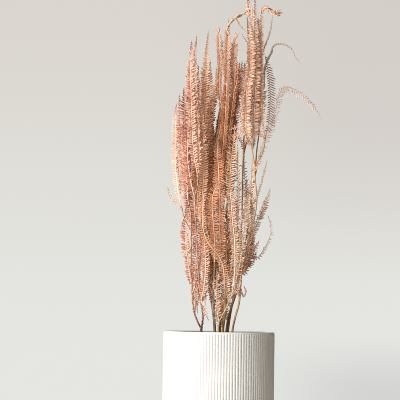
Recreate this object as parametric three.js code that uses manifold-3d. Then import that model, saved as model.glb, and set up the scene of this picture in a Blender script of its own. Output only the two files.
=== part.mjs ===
// A vase of preserved umbrella fern: nine dyed fronds stand in dry foam inside a ribbed white vase.
// Millimetres, +Z up. The origin is the centre of the vase's base, and -Y is the side that faces the room.
import * as THREE from 'three';
import { mergeVertices } from 'three/addons/utils/BufferGeometryUtils.js';
import Module from 'manifold-3d';

const wasm = await Module();
wasm.setup();

// Vase: a straight ceramic cylinder with upright ribs and a smooth rounded lip.
const VASE_HEIGHT = 200;
const VASE_RADIUS = 75;
const VASE_WALL = 5;
const VASE_FLOOR = 6;
const RIB_COUNT = 120;
const RIB_DEPTH = 0.9;
const LIP_HEIGHT = 2.4;
const LIP_SEGMENTS = 60;
const HOLLOW_SEGMENTS = 36;

// Dry foam: trimmed with a knife from a brick, so its side is a run of flats.
const FOAM_TOP = 135;
const FOAM_CLEARANCE = 0.4;
const FOAM_FLATS = 17;
const FOAM_BEVEL = 6;

// Stalks: round, forking again and again, with a small knot at each fork that the branches grow out of.
const STALK_STEP = 26;
const STALK_TAPER = 0.82;
const THINNEST_STALK = 0.95;
const THICK_STALK = 1.25;
const KNOT_RADIUS = 1.6;
const ROOT_DEPTH = 0.7;
const ROOT_OFFSET = 0.5;
const HOLE_CLEARANCE = 0.35;

// Leafy midribs: three-sided, with a leaflet to each side of every step. Angles are in degrees.
const LEAFLET_PITCH = 7.9;
const LEAFLET_LEAN = 22;
const LEAFLET_FOLD = 30;
const SHORTEST_LEAFLET = 1.2;
const BLADE_GAP = 1.1;
const MIDRIB_HALF_WIDTH = 0.9;
const MIDRIB_HEIGHT = 1.3;
const MIDRIB_TIP_SIZE = 0.65;
const ROLL_RANGE = 50;

const COLOURS = {
  vase: '#eceae4',
  foam: '#7d7f66',
  frond_left_front: '#c98b78',
  frond_left_middle: '#b9806a',
  frond_left_back: '#b98574',
  frond_centre_front: '#c7a58c',
  frond_centre_middle: '#a86f47',
  frond_centre_back: '#9a6540',
  frond_right_front: '#d8a98c',
  frond_right_middle: '#b98763',
  frond_right_back: '#cfa28a',
};

// A solid from a list of corners and the triangles between them.
function solidOf(corners, triangles) {
  const vertProperties = new Float32Array(corners.flatMap((corner) => corner.toArray()));
  const triVerts = new Uint32Array(triangles.flat());
  return new wasm.Manifold(new wasm.Mesh({ numProp: 3, vertProperties, triVerts }));
}

// A solid from a closed three.js geometry.
function solidFrom(geometry) {
  const bare = geometry.clone();
  bare.deleteAttribute('normal');
  bare.deleteAttribute('uv');
  const merged = mergeVertices(bare, 1e-4);
  const vertProperties = merged.attributes.position.array;
  const triVerts = new Uint32Array(merged.index.array);
  return new wasm.Manifold(new wasm.Mesh({ numProp: 3, vertProperties, triVerts }));
}

// One named mesh of the part, in its own colour.
function meshOf(name, solid) {
  const { vertProperties, triVerts } = solid.getMesh();
  const indexed = new THREE.BufferGeometry();
  indexed.setAttribute('position', new THREE.BufferAttribute(vertProperties, 3));
  indexed.setIndex(new THREE.BufferAttribute(triVerts, 1));
  const faceted = indexed.toNonIndexed();
  faceted.computeVertexNormals();
  const material = new THREE.MeshStandardMaterial({ color: COLOURS[name], roughness: 0.7, metalness: 0 });
  const mesh = new THREE.Mesh(faceted, material);
  mesh.name = name;
  return mesh;
}

// Draws between 0 and 1 that come out the same every time.
function seededDraws(seed) {
  let state = seed;
  return () => {
    state = (state * 1664525 + 1013904223) % 4294967296;
    return state / 4294967296;
  };
}

// A profile of radius and height pairs, turned about the vase's axis.
function turned(profile, segments) {
  const points = profile.map(([radius, height]) => new THREE.Vector2(radius, height));
  return solidFrom(new THREE.LatheGeometry(points, segments).rotateX(Math.PI / 2));
}

function pointAtAngle(radius, angle) {
  return new THREE.Vector2(radius * Math.cos(angle), radius * Math.sin(angle));
}

// The vase. Each rib is a flat-topped ridge between two narrow grooves, and the lip stands inside their
// crests.
function buildVase() {
  const outline = [];
  for (let rib = 0; rib < RIB_COUNT; rib += 1) {
    const pitch = (2 * Math.PI) / RIB_COUNT;
    outline.push(pointAtAngle(VASE_RADIUS - RIB_DEPTH, rib * pitch));
    outline.push(pointAtAngle(VASE_RADIUS, (rib + 0.25) * pitch));
    outline.push(pointAtAngle(VASE_RADIUS, (rib + 0.75) * pitch));
  }
  const ribbedWall = new THREE.ExtrudeGeometry(new THREE.Shape(outline), {
    depth: VASE_HEIGHT - LIP_HEIGHT,
    bevelEnabled: false,
  });
  const groove = VASE_RADIUS - RIB_DEPTH;
  const ribTop = VASE_HEIGHT - LIP_HEIGHT;
  const lip = [
    [0, ribTop - 2],
    [groove - 0.25, ribTop - 2],
    [groove - 0.25, ribTop + 0.2],
    [groove + 0.4, VASE_HEIGHT - 1.5],
    [groove - 0.1, VASE_HEIGHT - 0.5],
    [groove - 1.3, VASE_HEIGHT],
    [0, VASE_HEIGHT],
  ];
  const inner = VASE_RADIUS - VASE_WALL;
  const hollow = [
    [0, VASE_FLOOR],
    [inner - 3, VASE_FLOOR],
    [inner, VASE_FLOOR + 4],
    [inner, VASE_HEIGHT - 1.2],
    [inner + 1.1, VASE_HEIGHT + 0.5],
    [0, VASE_HEIGHT + 0.5],
  ];
  return solidFrom(ribbedWall).add(turned(lip, LIP_SEGMENTS)).subtract(turned(hollow, HOLLOW_SEGMENTS));
}

// The fern. Each path is a run of points that a stalk or midrib passes through, with x and y from the
// vase's axis and z above its rim. A stem and its arms fork into the branches that follow their path. A
// spray is a leafy midrib: reach is its leaflets' length, fold their lift, and tipFrom the share of the way
// they shorten from.
const stem = (name, radius, path, ...branches) => ({ name, radius, path, branches });
const arm = (path, ...branches) => ({ path, branches });
const spray = (path, leaflets) => ({ path, leaflets });
const fern = [
  stem('frond_left_front', 1.5, [[-15, -5, -100], [-15, -5, -65], [-24, -8, 1], [-24, -8, 5]],
    arm([[-30, -10, 15], [-35, -13, 31], [-37, -16, 55]],
      spray([[-33, -11, 74], [-32, -7, 98], [-32, -6, 123], [-34, -6, 150],
        [-38, -8, 187]], { reach: 8, fold: 25 }),
      spray([[-40, -12, 74], [-43, -12, 93], [-46, -13, 114], [-47, -14, 136],
        [-46, -15, 168]], { reach: 7.5, fold: 25 }),
      arm([[-39, -19, 82], [-39, -22, 112], [-39, -24, 135]],
        arm([[-48, -22, 149], [-53, -18, 166]],
          spray([[-58, -20, 171], [-67, -21, 180], [-71, -22, 191]], { reach: 3, fold: 30 }),
          spray([[-57, -14, 190], [-61, -12, 224], [-62, -12, 260], [-62, -13, 284],
            [-61, -14, 303]], { reach: 6.5, fold: 25 })),
        arm([[-40, -26, 156], [-44, -26, 177]],
          spray([[-49, -21, 206], [-53, -19, 244], [-55, -18, 278],
            [-57, -17, 315]], { reach: 8, fold: 40 }),
          spray([[-46, -29, 214], [-48, -27, 257], [-50, -25, 291],
            [-51, -24, 325]], { reach: 8, fold: 45 })))),
    arm([[-22, -12, 18], [-25, -16, 42]],
      spray([[-21, -18, 32], [-18, -19, 23], [-15, -19, 16]], { reach: 3.5, fold: 35 }),
      spray([[-21, -20, 58], [-19, -22, 82], [-20, -23, 107], [-23, -22, 136]], { reach: 8, fold: 30 }),
      arm([[-28, -20, 69], [-30, -24, 93], [-32, -29, 129], [-35, -33, 182]],
        spray([[-40, -36, 200], [-44, -36, 224], [-45, -35, 258], [-45, -33, 287],
          [-45, -31, 321]], { reach: 7.5, fold: 40 }),
        arm([[-31, -36, 196], [-31, -38, 210]],
          spray([[-36, -42, 231], [-39, -43, 264], [-41, -41, 305], [-43, -37, 345],
            [-42, -33, 386]], { reach: 8, fold: 30 }),
          spray([[-29, -41, 233], [-31, -41, 271], [-35, -39, 312], [-37, -36, 352],
            [-35, -33, 393]], { reach: 8, fold: 40 }))))),
  stem('frond_left_middle', 1.8, [[-4, -1, -100], [-4, -1, -65], [-6, -3, 2], [-8, -4, 31], [-9, -5, 55]],
    arm([[-16, -7, 66], [-22, -9, 80], [-25, -10, 101], [-26, -10, 125], [-27, -10, 147]],
      spray([[-31, -12, 177], [-33, -14, 217], [-33, -15, 251], [-32, -16, 285],
        [-32, -16, 318]], { reach: 8, fold: 30 }),
      spray([[-25, -14, 177], [-23, -19, 217], [-24, -24, 258], [-24, -26, 298], [-23, -25, 339],
        [-20, -22, 400]], { reach: 8, fold: 45 })),
    arm([[-13, -3, 69], [-17, 0, 89], [-18, 1, 116], [-19, 1, 143]],
      spray([[-19, -2, 177], [-18, -5, 217], [-18, -8, 258], [-17, -9, 298], [-17, -9, 332],
        [-17, -9, 363]], { reach: 7.5, fold: 50 }),
      spray([[-24, 5, 170], [-26, 7, 211], [-28, 7, 251], [-28, 6, 285],
        [-28, 6, 314]], { reach: 8, fold: 25 })),
    arm([[-8, -10, 69], [-7, -16, 93]],
      spray([[-7, -24, 116], [-9, -32, 141], [-11, -36, 162], [-11, -37, 178], [-8, -37, 189],
        [-3, -36, 195], [4, -34, 196]], { reach: 8, fold: 15 })),
    arm([[-2, -7, 68], [0, -14, 89]],
      spray([[0, -23, 116], [-1, -28, 143], [-1, -30, 170], [-2, -30, 191], [-4, -30, 224],
        [-6, -30, 258]], { reach: 8.5, fold: 15 }))),
  stem('frond_left_back', 1.4, [[-4, 10, -100], [-4, 10, -65], [-6, 12, 2], [-10, 16, 35],
    [-16, 20, 69], [-22, 23, 99]],
    arm([[-31, 22, 119]],
      spray([[-38, 22, 147], [-45, 20, 177], [-50, 17, 210], [-54, 14, 244], [-55, 13, 271],
        [-57, 12, 295]], { reach: 8, fold: 25 }),
      spray([[-35, 28, 150], [-40, 31, 190], [-43, 31, 231], [-45, 29, 271], [-46, 25, 318],
        [-45, 22, 363]], { reach: 8.5, fold: 30 })),
    arm([[-24, 25, 126], [-27, 27, 147]],
      spray([[-31, 33, 177], [-34, 36, 217], [-35, 36, 258], [-36, 34, 298], [-36, 30, 339],
        [-38, 27, 379]], { reach: 8, fold: 30 }),
      arm([[-24, 29, 170]],
        spray([[-25, 34, 204], [-26, 37, 244], [-25, 36, 285], [-23, 33, 328],
          [-22, 29, 373]], { reach: 8.5, fold: 25 }),
        spray([[-18, 27, 201], [-17, 28, 244], [-17, 28, 285], [-17, 27, 319]], { reach: 7, fold: 50 })))),
  stem('frond_centre_front', 1.2, [[0, -9, -100], [0, -9, -65], [-1, -13, 2], [0, -14, 14]],
    spray([[-3, -16, 29], [-4, -18, 45], [-4, -21, 62], [-4, -24, 83]], { reach: 6, fold: 30 }),
    arm([[5, -18, 23], [12, -21, 38], [17, -23, 52], [18, -24, 61]],
      spray([[20, -29, 83], [20, -33, 103], [19, -37, 123], [16, -39, 148], [14, -40, 171],
        [11, -39, 202]], { reach: 8, fold: 20 }),
      spray([[24, -28, 80], [28, -31, 102], [30, -35, 124], [31, -38, 148], [31, -39, 171],
        [30, -39, 196]], { reach: 8, fold: 30 }))),
  stem('frond_centre_middle', 1.7, [[6, -2, -100], [6, -2, -65], [5, -4, 2], [8, -8, 29], [7, -12, 56]],
    spray([[6, -21, 76], [4, -26, 89], [-2, -32, 102], [-10, -38, 111], [-18, -41, 122],
      [-23, -43, 139], [-24, -44, 158], [-23, -43, 181]], { reach: 7, fold: 25 }),
    arm([[11, -16, 71], [16, -20, 88], [17, -23, 104], [19, -26, 118], [22, -28, 140]],
      spray([[17, -29, 161], [13, -29, 184], [12, -30, 211], [14, -32, 238],
        [17, -32, 268]], { reach: 8, fold: 20 }),
      spray([[24, -31, 171], [24, -32, 204], [23, -32, 231], [21, -31, 257]], { reach: 7.5, fold: 35 })),
    arm([[8, -10, 83], [9, -8, 110], [6, -8, 137], [3, -9, 156]],
      arm([[-2, -10, 173], [-5, -12, 191]],
        spray([[-7, -14, 215], [-6, -16, 247], [-2, -18, 274], [0, -19, 296], [-3, -20, 319],
          [-4, -20, 339], [-3, -21, 363], [-5, -22, 385],
          [-6, -22, 408]], { reach: 7.5, fold: 45, tipFrom: 0.95 }),
        spray([[0, -15, 224], [3, -19, 261], [5, -24, 301], [6, -26, 337], [6, -27, 369],
          [7, -28, 404]], { reach: 7.5, fold: 50, tipFrom: 0.95 })),
      arm([[8, -9, 171], [9, -10, 191]],
        spray([[6, -13, 225], [9, -16, 261], [13, -19, 296], [16, -21, 329], [15, -23, 360],
          [16, -24, 380], [18, -25, 400]], { reach: 7, fold: 45, tipFrom: 0.95 }),
        spray([[12, -8, 225], [13, -8, 265], [16, -9, 299], [20, -11, 329],
          [23, -12, 361]], { reach: 8, fold: 40 })))),
  stem('frond_centre_back', 1.5, [[1, 5, -100], [1, 5, -65], [1, 8, 2], [0, 10, 29], [-1, 12, 56]],
    spray([[-3, 14, 42], [-2, 14, 26], [1, 12, 8]], { reach: 5, fold: 25 }),
    spray([[-7, 9, 73], [-11, 9, 91], [-12, 10, 112], [-13, 12, 139],
      [-14, 13, 170]], { reach: 7.5, fold: 20 }),
    arm([[-1, 15, 89], [-2, 17, 123]],
      arm([[-8, 18, 153], [-10, 20, 177]],
        spray([[-14, 19, 211], [-15, 17, 251], [-15, 15, 288], [-12, 13, 315], [-8, 12, 336],
          [-9, 12, 358]], { reach: 6.5, fold: 35 }),
        spray([[-8, 28, 211], [-5, 33, 247], [-1, 33, 282], [0, 31, 309]], { reach: 8.5, fold: 20 })),
      arm([[3, 17, 157], [5, 18, 184]],
        spray([[1, 22, 218], [3, 24, 256], [6, 24, 288], [6, 21, 315]], { reach: 8, fold: 30 }),
        spray([[10, 15, 215], [12, 13, 252], [15, 11, 288], [16, 9, 319], [13, 6, 347], [8, 3, 377],
          [5, 0, 396], [5, -2, 408], [10, -4, 419], [20, -5, 427],
          [34, -6, 434]], { reach: 5, fold: 50, tipFrom: 0.72 })))),
  stem('frond_right_front', 1.3, [[17, -6, -100], [16, -6, -65], [18, -9, 2], [21, -11, 18],
    [26, -13, 38], [28, -15, 56]],
    spray([[33, -16, 47], [36, -17, 55], [33, -17, 61]], { reach: 2, fold: 30 }),
    arm([[29, -16, 72], [30, -17, 88]],
      spray([[36, -12, 99], [42, -9, 110], [47, -8, 114], [51, -8, 121]], { reach: 6, fold: 30 }),
      arm([[34, -21, 109], [40, -24, 132], [45, -26, 153], [48, -27, 174], [47, -27, 191],
        [45, -26, 209], [45, -26, 225]],
        arm([[42, -27, 237], [41, -28, 247]],
          spray([[36, -31, 257], [32, -34, 275], [32, -35, 299], [33, -35, 326], [37, -34, 353],
            [37, -33, 383], [32, -32, 421]], { reach: 8, fold: 30 }),
          spray([[43, -28, 261], [43, -30, 286], [44, -31, 313], [45, -31, 347], [44, -30, 380],
            [43, -28, 410], [42, -27, 432], [42, -26, 449]], { reach: 7.5, fold: 40 })),
        arm([[53, -24, 236], [57, -22, 250], [58, -21, 262]],
          spray([[54, -24, 286], [52, -25, 320], [51, -24, 353], [51, -23, 387], [51, -22, 414],
            [52, -22, 432], [57, -22, 437], [65, -22, 431],
            [75, -21, 429]], { reach: 6, fold: 40, tipFrom: 0.75 }),
          spray([[62, -18, 279], [64, -17, 302], [64, -16, 324], [62, -15, 347],
            [57, -15, 371]], { reach: 9.5, fold: 10 }))))),
  stem('frond_right_middle', 1.5, [[11, 2, -100], [11, 2, -65], [10, 3, 2], [15, 4, 29], [22, 4, 52],
    [26, 3, 76]],
    spray([[33, 4, 86], [38, 5, 102], [41, 5, 124], [41, 5, 145], [41, 5, 170],
      [39, 4, 197]], { reach: 8, fold: 25 }),
    spray([[31, -5, 82], [36, -7, 90], [42, -6, 98], [48, -5, 106]], { reach: 7.5, fold: 20 }),
    arm([[28, 1, 103], [28, 0, 140], [29, -1, 178], [29, -1, 211], [30, -1, 242]],
      arm([[30, 0, 259], [31, -4, 283], [32, -6, 302]],
        spray([[29, -6, 321], [28, -6, 340], [30, -7, 361]], { reach: 7, fold: 35 }),
        spray([[37, -13, 324], [39, -15, 351], [39, -14, 380], [36, -12, 414],
          [32, -10, 446]], { reach: 7, fold: 45 })),
      arm([[35, 4, 260], [42, 8, 275]],
        spray([[47, 6, 297], [48, 3, 324], [48, 1, 356], [48, 0, 387],
          [47, 0, 424]], { reach: 7.5, fold: 40 }),
        spray([[38, 14, 299], [35, 17, 326], [34, 17, 350], [35, 16, 373]], { reach: 8, fold: 25 })))),
  stem('frond_right_back', 1.4, [[8, 11, -100], [8, 11, -65], [12, 13, 2], [17, 17, 36], [24, 20, 69],
    [30, 22, 97]],
    spray([[40, 16, 102], [51, 12, 101], [59, 10, 113], [65, 9, 124], [68, 8, 135], [67, 8, 146],
      [64, 8, 156]], { reach: 4.5, fold: 20 }),
    arm([[34, 22, 116]],
      spray([[42, 20, 128], [50, 18, 147], [58, 16, 166], [66, 14, 193]], { reach: 5.5, fold: 20 }),
      arm([[37, 24, 140], [40, 25, 164]],
        spray([[48, 20, 181], [53, 16, 197], [57, 14, 212], [62, 12, 232]], { reach: 2.5, fold: 30 }),
        arm([[43, 26, 191], [47, 26, 218]],
          spray([[53, 22, 243], [61, 18, 264], [69, 15, 286], [74, 13, 308], [78, 12, 325],
            [85, 11, 333], [96, 10, 329], [111, 8, 320], [124, 6, 306],
            [134, 4, 291]], { reach: 6.5, fold: 15, tipFrom: 0.6 }),
          arm([[48, 26, 245], [51, 24, 272]],
            spray([[54, 17, 302], [55, 13, 333], [56, 12, 356], [60, 11, 369], [65, 10, 379],
              [68, 9, 388], [76, 8, 392], [87, 7, 389], [95, 6, 382], [98, 5, 374],
              [104, 4, 367]], { reach: 6, fold: 30, tipFrom: 0.3 }),
            spray([[47, 27, 299], [45, 27, 329], [48, 23, 360], [55, 17, 386], [61, 14, 401],
              [64, 12, 413], [66, 11, 427]], { reach: 7, fold: 30, tipFrom: 0.4 }))),
        spray([[35, 31, 188], [32, 33, 215], [31, 34, 242]], { reach: 8.5, fold: 25 }))),
    arm([[23, 26, 113], [19, 29, 140]],
      spray([[15, 33, 171], [12, 36, 204], [12, 36, 245], [14, 34, 283], [19, 30, 321],
        [23, 26, 356]], { reach: 8.5, fold: 25 }),
      spray([[23, 25, 171], [23, 22, 204], [22, 20, 227], [22, 20, 245]], { reach: 8, fold: 30 }))),
];

// A branch starts just under the knot that its parent ends in, a little to the side it grows to.
function curveOf(path, parentEnd) {
  const points = path.map(([x, y, z]) => new THREE.Vector3(x, y, VASE_HEIGHT + z));
  if (parentEnd) {
    const { point, heading } = parentEnd;
    const aside = points[0].clone().sub(point);
    aside.addScaledVector(heading, -aside.dot(heading)).normalize();
    points.unshift(point.clone().addScaledVector(heading, -ROOT_DEPTH).addScaledVector(aside, ROOT_OFFSET));
  }
  return new THREE.CatmullRomCurve3(points, false, 'centripetal');
}

// Evenly spaced cross-sections along a curve, each with its heading, its side and its up direction.
function sectionsOf(curve, steps, firstSide) {
  const points = curve.getSpacedPoints(steps);
  const side = firstSide.clone();
  return points.map((point, i) => {
    const heading = points[Math.min(i + 1, steps)].clone().sub(points[Math.max(i - 1, 0)]).normalize();
    side.addScaledVector(heading, -side.dot(heading)).normalize();
    return { point, heading, side: side.clone(), up: side.clone().cross(heading) };
  });
}

// A closed round stalk that thins from its root to its far end, where it swells into a knot.
function stalkSolid({ curve, thick, thin, knot }) {
  const flats = thick > THICK_STALK ? 6 : 5;
  const steps = Math.max(2, Math.round(curve.getLength() / STALK_STEP));
  const corners = [];
  const triangles = [];
  sectionsOf(curve, steps, new THREE.Vector3(1, 0, 0)).forEach(({ point, side, up }, row) => {
    const radius = row === steps ? knot : thick + ((thin - thick) * row) / steps;
    for (let flat = 0; flat < flats; flat += 1) {
      const around = pointAtAngle(radius, (flat / flats) * 2 * Math.PI);
      corners.push(point.clone().addScaledVector(side, around.x).addScaledVector(up, around.y));
      if (row < steps) {
        const here = row * flats + flat;
        const beside = row * flats + ((flat + 1) % flats);
        triangles.push([here, here + flats, beside], [beside, here + flats, beside + flats]);
      }
    }
  });
  const top = steps * flats;
  for (let flat = 1; flat < flats - 1; flat += 1) {
    triangles.push([0, flat, flat + 1], [top, top + flat + 1, top + flat]);
  }
  return solidOf(corners, triangles);
}

// Walks one frond from the foam up and lists its stalks and its leafy midribs.
function growFrond(part, frond, parentEnd, radius) {
  const curve = curveOf(part.path, parentEnd);
  if (part.leaflets) {
    frond.midribs.push({ curve, ...part.leaflets });
    return;
  }
  const thin = Math.max(THINNEST_STALK, radius * STALK_TAPER);
  frond.stalks.push({ curve, thick: radius, thin, knot: KNOT_RADIUS });
  const end = { point: curve.getPointAt(1), heading: curve.getTangentAt(1) };
  part.branches.forEach((branch) => growFrond(branch, frond, end, thin));
}

const fronds = fern.map((part) => {
  const frond = { name: part.name, stalks: [], midribs: [] };
  growFrond(part, frond, null, part.radius);
  return frond;
});

// Each midrib's flat side faces out of the bunch, to the front or the back, rolled by a seeded draw.
const draw = seededDraws(41);
const midribs = fronds.flatMap((frond) => frond.midribs);
midribs.forEach((midrib) => {
  const { curve } = midrib;
  midrib.middle = curve.getPointAt(0.5);
  const facing = new THREE.Vector3(midrib.middle.x * 0.2, midrib.middle.y < 8 ? -20 : 20, 0).normalize();
  const heading = curve.getTangentAt(0);
  const roll = THREE.MathUtils.degToRad((draw() - 0.5) * ROLL_RANGE);
  const steps = Math.max(3, Math.round(curve.getLength() / LEAFLET_PITCH));
  midrib.sections = sectionsOf(curve, steps, heading.clone().cross(facing).applyAxisAngle(heading, roll));
});

// Everything that a leaflet keeps clear of is filed under the cells of space that it is in.
const CELL = 12;
const filed = new Map();
function cellsWithin(point, reach) {
  const keys = [];
  const low = point.clone().addScalar(-reach).divideScalar(CELL).floor();
  const high = point.clone().addScalar(reach).divideScalar(CELL).floor();
  for (let x = low.x; x <= high.x; x += 1) {
    for (let y = low.y; y <= high.y; y += 1) {
      for (let z = low.z; z <= high.z; z += 1) {
        keys.push(`${x},${y},${z}`);
      }
    }
  }
  return keys;
}
function file(thing, point, reach) {
  cellsWithin(point, reach).forEach((key) => filed.set(key, [...(filed.get(key) ?? []), thing]));
}

// Stalks and midribs are filed as a string of beads.
function fileBeads(curve, radius, owner) {
  const beads = Math.ceil(curve.getLength() / 2.5);
  curve.getSpacedPoints(beads).forEach((bead) => file({ bead, radius, owner }, bead, 0));
}
fronds.forEach((frond) => frond.stalks.forEach((stalk) => fileBeads(stalk.curve, stalk.thick, stalk)));
midribs.forEach((midrib) => fileBeads(midrib.curve, MIDRIB_HEIGHT, midrib));

// A leaflet is a flat blade with two corners on its midrib and one at its tip.
function bladeOf(rootA, rootB, tip, owner) {
  const points = [0.35, 0.6, 0.8, 1].flatMap((share) => [
    rootA.clone().lerp(tip, share),
    rootB.clone().lerp(tip, share),
  ]);
  const triangle = new THREE.Triangle(rootA, rootB, tip);
  return { triangle, points, owner, middle: triangle.getMidpoint(new THREE.Vector3()) };
}

const nearest = new THREE.Vector3();
const gapTo = (triangle, point) => triangle.closestPointToPoint(point, nearest).distanceTo(point);

// True where a blade comes too near a stalk, another midrib or another midrib's leaflets.
function isCrowded(blade) {
  const isTooNear = (thing) => {
    if (thing.owner === blade.owner) {
      return false;
    }
    if (thing.bead) {
      return gapTo(blade.triangle, thing.bead) < thing.radius + BLADE_GAP;
    }
    return (
      thing.points.some((point) => gapTo(blade.triangle, point) < BLADE_GAP) ||
      blade.points.some((point) => gapTo(thing.triangle, point) < BLADE_GAP)
    );
  };
  return cellsWithin(blade.middle, 8).some((key) => (filed.get(key) ?? []).some(isTooNear));
}

// How far the leaflets reach at a share of the way along: short at the foot, and again towards the tip.
function reachAlong(along, reach, tipFrom) {
  const swell = Math.min(1, 0.35 + along / 0.25);
  const shrink = along > tipFrom ? 1 - (0.75 * (along - tipFrom)) / (1 - tipFrom) : 1;
  return reach * swell * shrink;
}

// A leafy midrib, drawn out to a point. A leaflet that would be crowded is shortened, or left out.
function midribSolid(midrib) {
  const { sections, reach, fold = LEAFLET_FOLD, tipFrom = 0.8 } = midrib;
  const steps = sections.length - 1;
  const lean = THREE.MathUtils.degToRad(LEAFLET_LEAN);
  const lift = THREE.MathUtils.degToRad(fold);
  const corners = [];
  const triangles = [[0, 1, 2]];
  sections.forEach(({ point, side, up }, row) => {
    const size = 1 - ((1 - MIDRIB_TIP_SIZE) * row) / steps;
    corners.push(point.clone().addScaledVector(up, MIDRIB_HEIGHT * size));
    corners.push(point.clone().addScaledVector(side, -MIDRIB_HALF_WIDTH * size));
    corners.push(point.clone().addScaledVector(side, MIDRIB_HALF_WIDTH * size));
  });
  for (let row = 0; row < steps; row += 1) {
    const here = row * 3;
    const next = here + 3;
    triangles.push([here + 1, next + 1, next + 2], [here + 1, next + 2, here + 2]);
    const { heading, side, up } = sections[row];
    [1, -1].forEach((hand) => {
      const quad = hand > 0 ? [here + 2, next + 2, next, here] : [next + 1, here + 1, here, next];
      const [rootA, rootB] = [corners[quad[0]], corners[quad[1]]];
      const root = new THREE.Vector3();
      quad.forEach((corner) => root.addScaledVector(corners[corner], 0.25));
      const direction = side
        .clone()
        .multiplyScalar(hand * Math.cos(lift))
        .addScaledVector(up, Math.sin(lift))
        .multiplyScalar(Math.cos(lean))
        .addScaledVector(heading, Math.sin(lean));
      const bend = sections[row + 1].heading.clone().sub(heading).dot(direction) / LEAFLET_PITCH;
      const wanted = reachAlong((row + 0.5) / steps, reach, tipFrom) * (0.85 + 0.3 * draw());
      const full = Math.min(wanted, 0.7 / Math.max(bend, 0.01));
      const tipAt = (length) => root.clone().addScaledVector(direction, length);
      const length = [1, 0.8, 0.62, 0.46, 0.32]
        .map((share) => share * full)
        .filter((tried) => row > 0 && tried > SHORTEST_LEAFLET)
        .find((tried) => !isCrowded(bladeOf(rootA, rootB, tipAt(tried), midrib)));
      if (length) {
        const blade = bladeOf(rootA, rootB, tipAt(length), midrib);
        file(blade, blade.middle, 5);
        const tip = corners.push(tipAt(length)) - 1;
        quad.forEach((corner, i) => triangles.push([corner, quad[(i + 1) % 4], tip]));
      } else {
        triangles.push([quad[0], quad[1], quad[2]], [quad[0], quad[2], quad[3]]);
      }
    });
  }
  const end = sections[steps];
  const last = steps * 3;
  const point = corners.push(end.point.clone().addScaledVector(end.heading, reach * 0.5)) - 1;
  triangles.push([last, last + 2, point], [last + 2, last + 1, point], [last + 1, last, point]);
  return solidOf(corners, triangles);
}

// Front midribs are leafed first, so the leaflets behind them are the ones that give way.
[...midribs]
  .sort((a, b) => a.middle.y - b.middle.y)
  .forEach((midrib) => {
    midrib.solid = midribSolid(midrib);
  });

// The stalks and midribs of a frond are joined into one body.
function frondSolid(frond) {
  const pieces = [...frond.stalks.map(stalkSolid), ...frond.midribs.map((midrib) => midrib.solid)];
  const joined = pieces.reduce((body, piece) => body.add(piece));
  return joined.decompose().sort((a, b) => b.volume() - a.volume())[0];
}

// The foam block, with a plain round hole for each stem.
function buildFoam() {
  const foamDraw = seededDraws(5);
  const radius = VASE_RADIUS - VASE_WALL - FOAM_CLEARANCE;
  const outline = [];
  for (let flat = 0; flat < FOAM_FLATS; flat += 1) {
    outline.push(pointAtAngle(radius, ((flat + 0.5 * foamDraw()) / FOAM_FLATS) * 2 * Math.PI));
  }
  const foot = VASE_FLOOR + FOAM_CLEARANCE;
  const block = new THREE.ExtrudeGeometry(new THREE.Shape(outline), {
    depth: FOAM_TOP - foot - 2 * FOAM_BEVEL,
    bevelThickness: FOAM_BEVEL,
    bevelSize: FOAM_BEVEL,
    bevelOffset: -FOAM_BEVEL,
    bevelSegments: 1,
  }).translate(0, 0, foot + FOAM_BEVEL);
  const holes = fern.map(({ path, radius: stemRadius }) => {
    const wide = stemRadius + HOLE_CLEARANCE;
    const lowered = path.map(([x, y, z]) => [x, y, z - HOLE_CLEARANCE]);
    return stalkSolid({ curve: curveOf(lowered), thick: wide, thin: wide, knot: wide });
  });
  return holes.reduce((foam, hole) => foam.subtract(hole), solidFrom(block));
}

const group = new THREE.Group();
group.add(meshOf('vase', buildVase()));
group.add(meshOf('foam', buildFoam()));
fronds.forEach((frond) => group.add(meshOf(frond.name, frondSolid(frond))));

export default group;
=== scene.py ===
"""A ribbed white vase of preserved umbrella fern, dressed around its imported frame. Lengths are millimetres in the
lists below and metres in the scene. The origin is the middle of the vase's base, and -Y is the side that faces
the room."""
import math

import bpy
import numpy as np
from mathutils import Matrix, Vector, noise


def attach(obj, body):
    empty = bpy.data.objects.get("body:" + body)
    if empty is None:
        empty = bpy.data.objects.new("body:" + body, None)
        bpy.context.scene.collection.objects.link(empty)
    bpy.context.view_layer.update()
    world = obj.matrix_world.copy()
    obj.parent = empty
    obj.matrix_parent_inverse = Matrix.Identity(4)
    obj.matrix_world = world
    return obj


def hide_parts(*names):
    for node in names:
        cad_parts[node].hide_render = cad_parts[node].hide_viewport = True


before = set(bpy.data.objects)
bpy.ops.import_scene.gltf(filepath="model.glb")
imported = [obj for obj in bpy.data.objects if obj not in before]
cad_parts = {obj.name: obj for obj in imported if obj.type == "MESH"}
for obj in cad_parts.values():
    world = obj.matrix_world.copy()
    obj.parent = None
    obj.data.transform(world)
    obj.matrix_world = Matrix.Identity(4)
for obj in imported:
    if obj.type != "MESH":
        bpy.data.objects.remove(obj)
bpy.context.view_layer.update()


# The vase: a straight cylinder of slip-cast white stoneware, 150 mm across with a 5 mm wall. The mould leaves 120
# upright ribs under a smooth rounded lip, and a satin-matte glaze covers all but the base that it stands on.
MM = 0.001
VASE_HEIGHT = 200
VASE_RADIUS = 75
VASE_WALL = 5
VASE_FLOOR = 6
RIB_COUNT = 120
RIB_DEPTH = 0.9
# How far round a rib its corners are, as shares of the rib's width. A high power keeps the grooves narrow.
RIB_CORNERS = (0, 0.07, 0.17, 0.32, 0.5, 0.68, 0.83, 0.93)
GROOVE_POWER = 4
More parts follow.
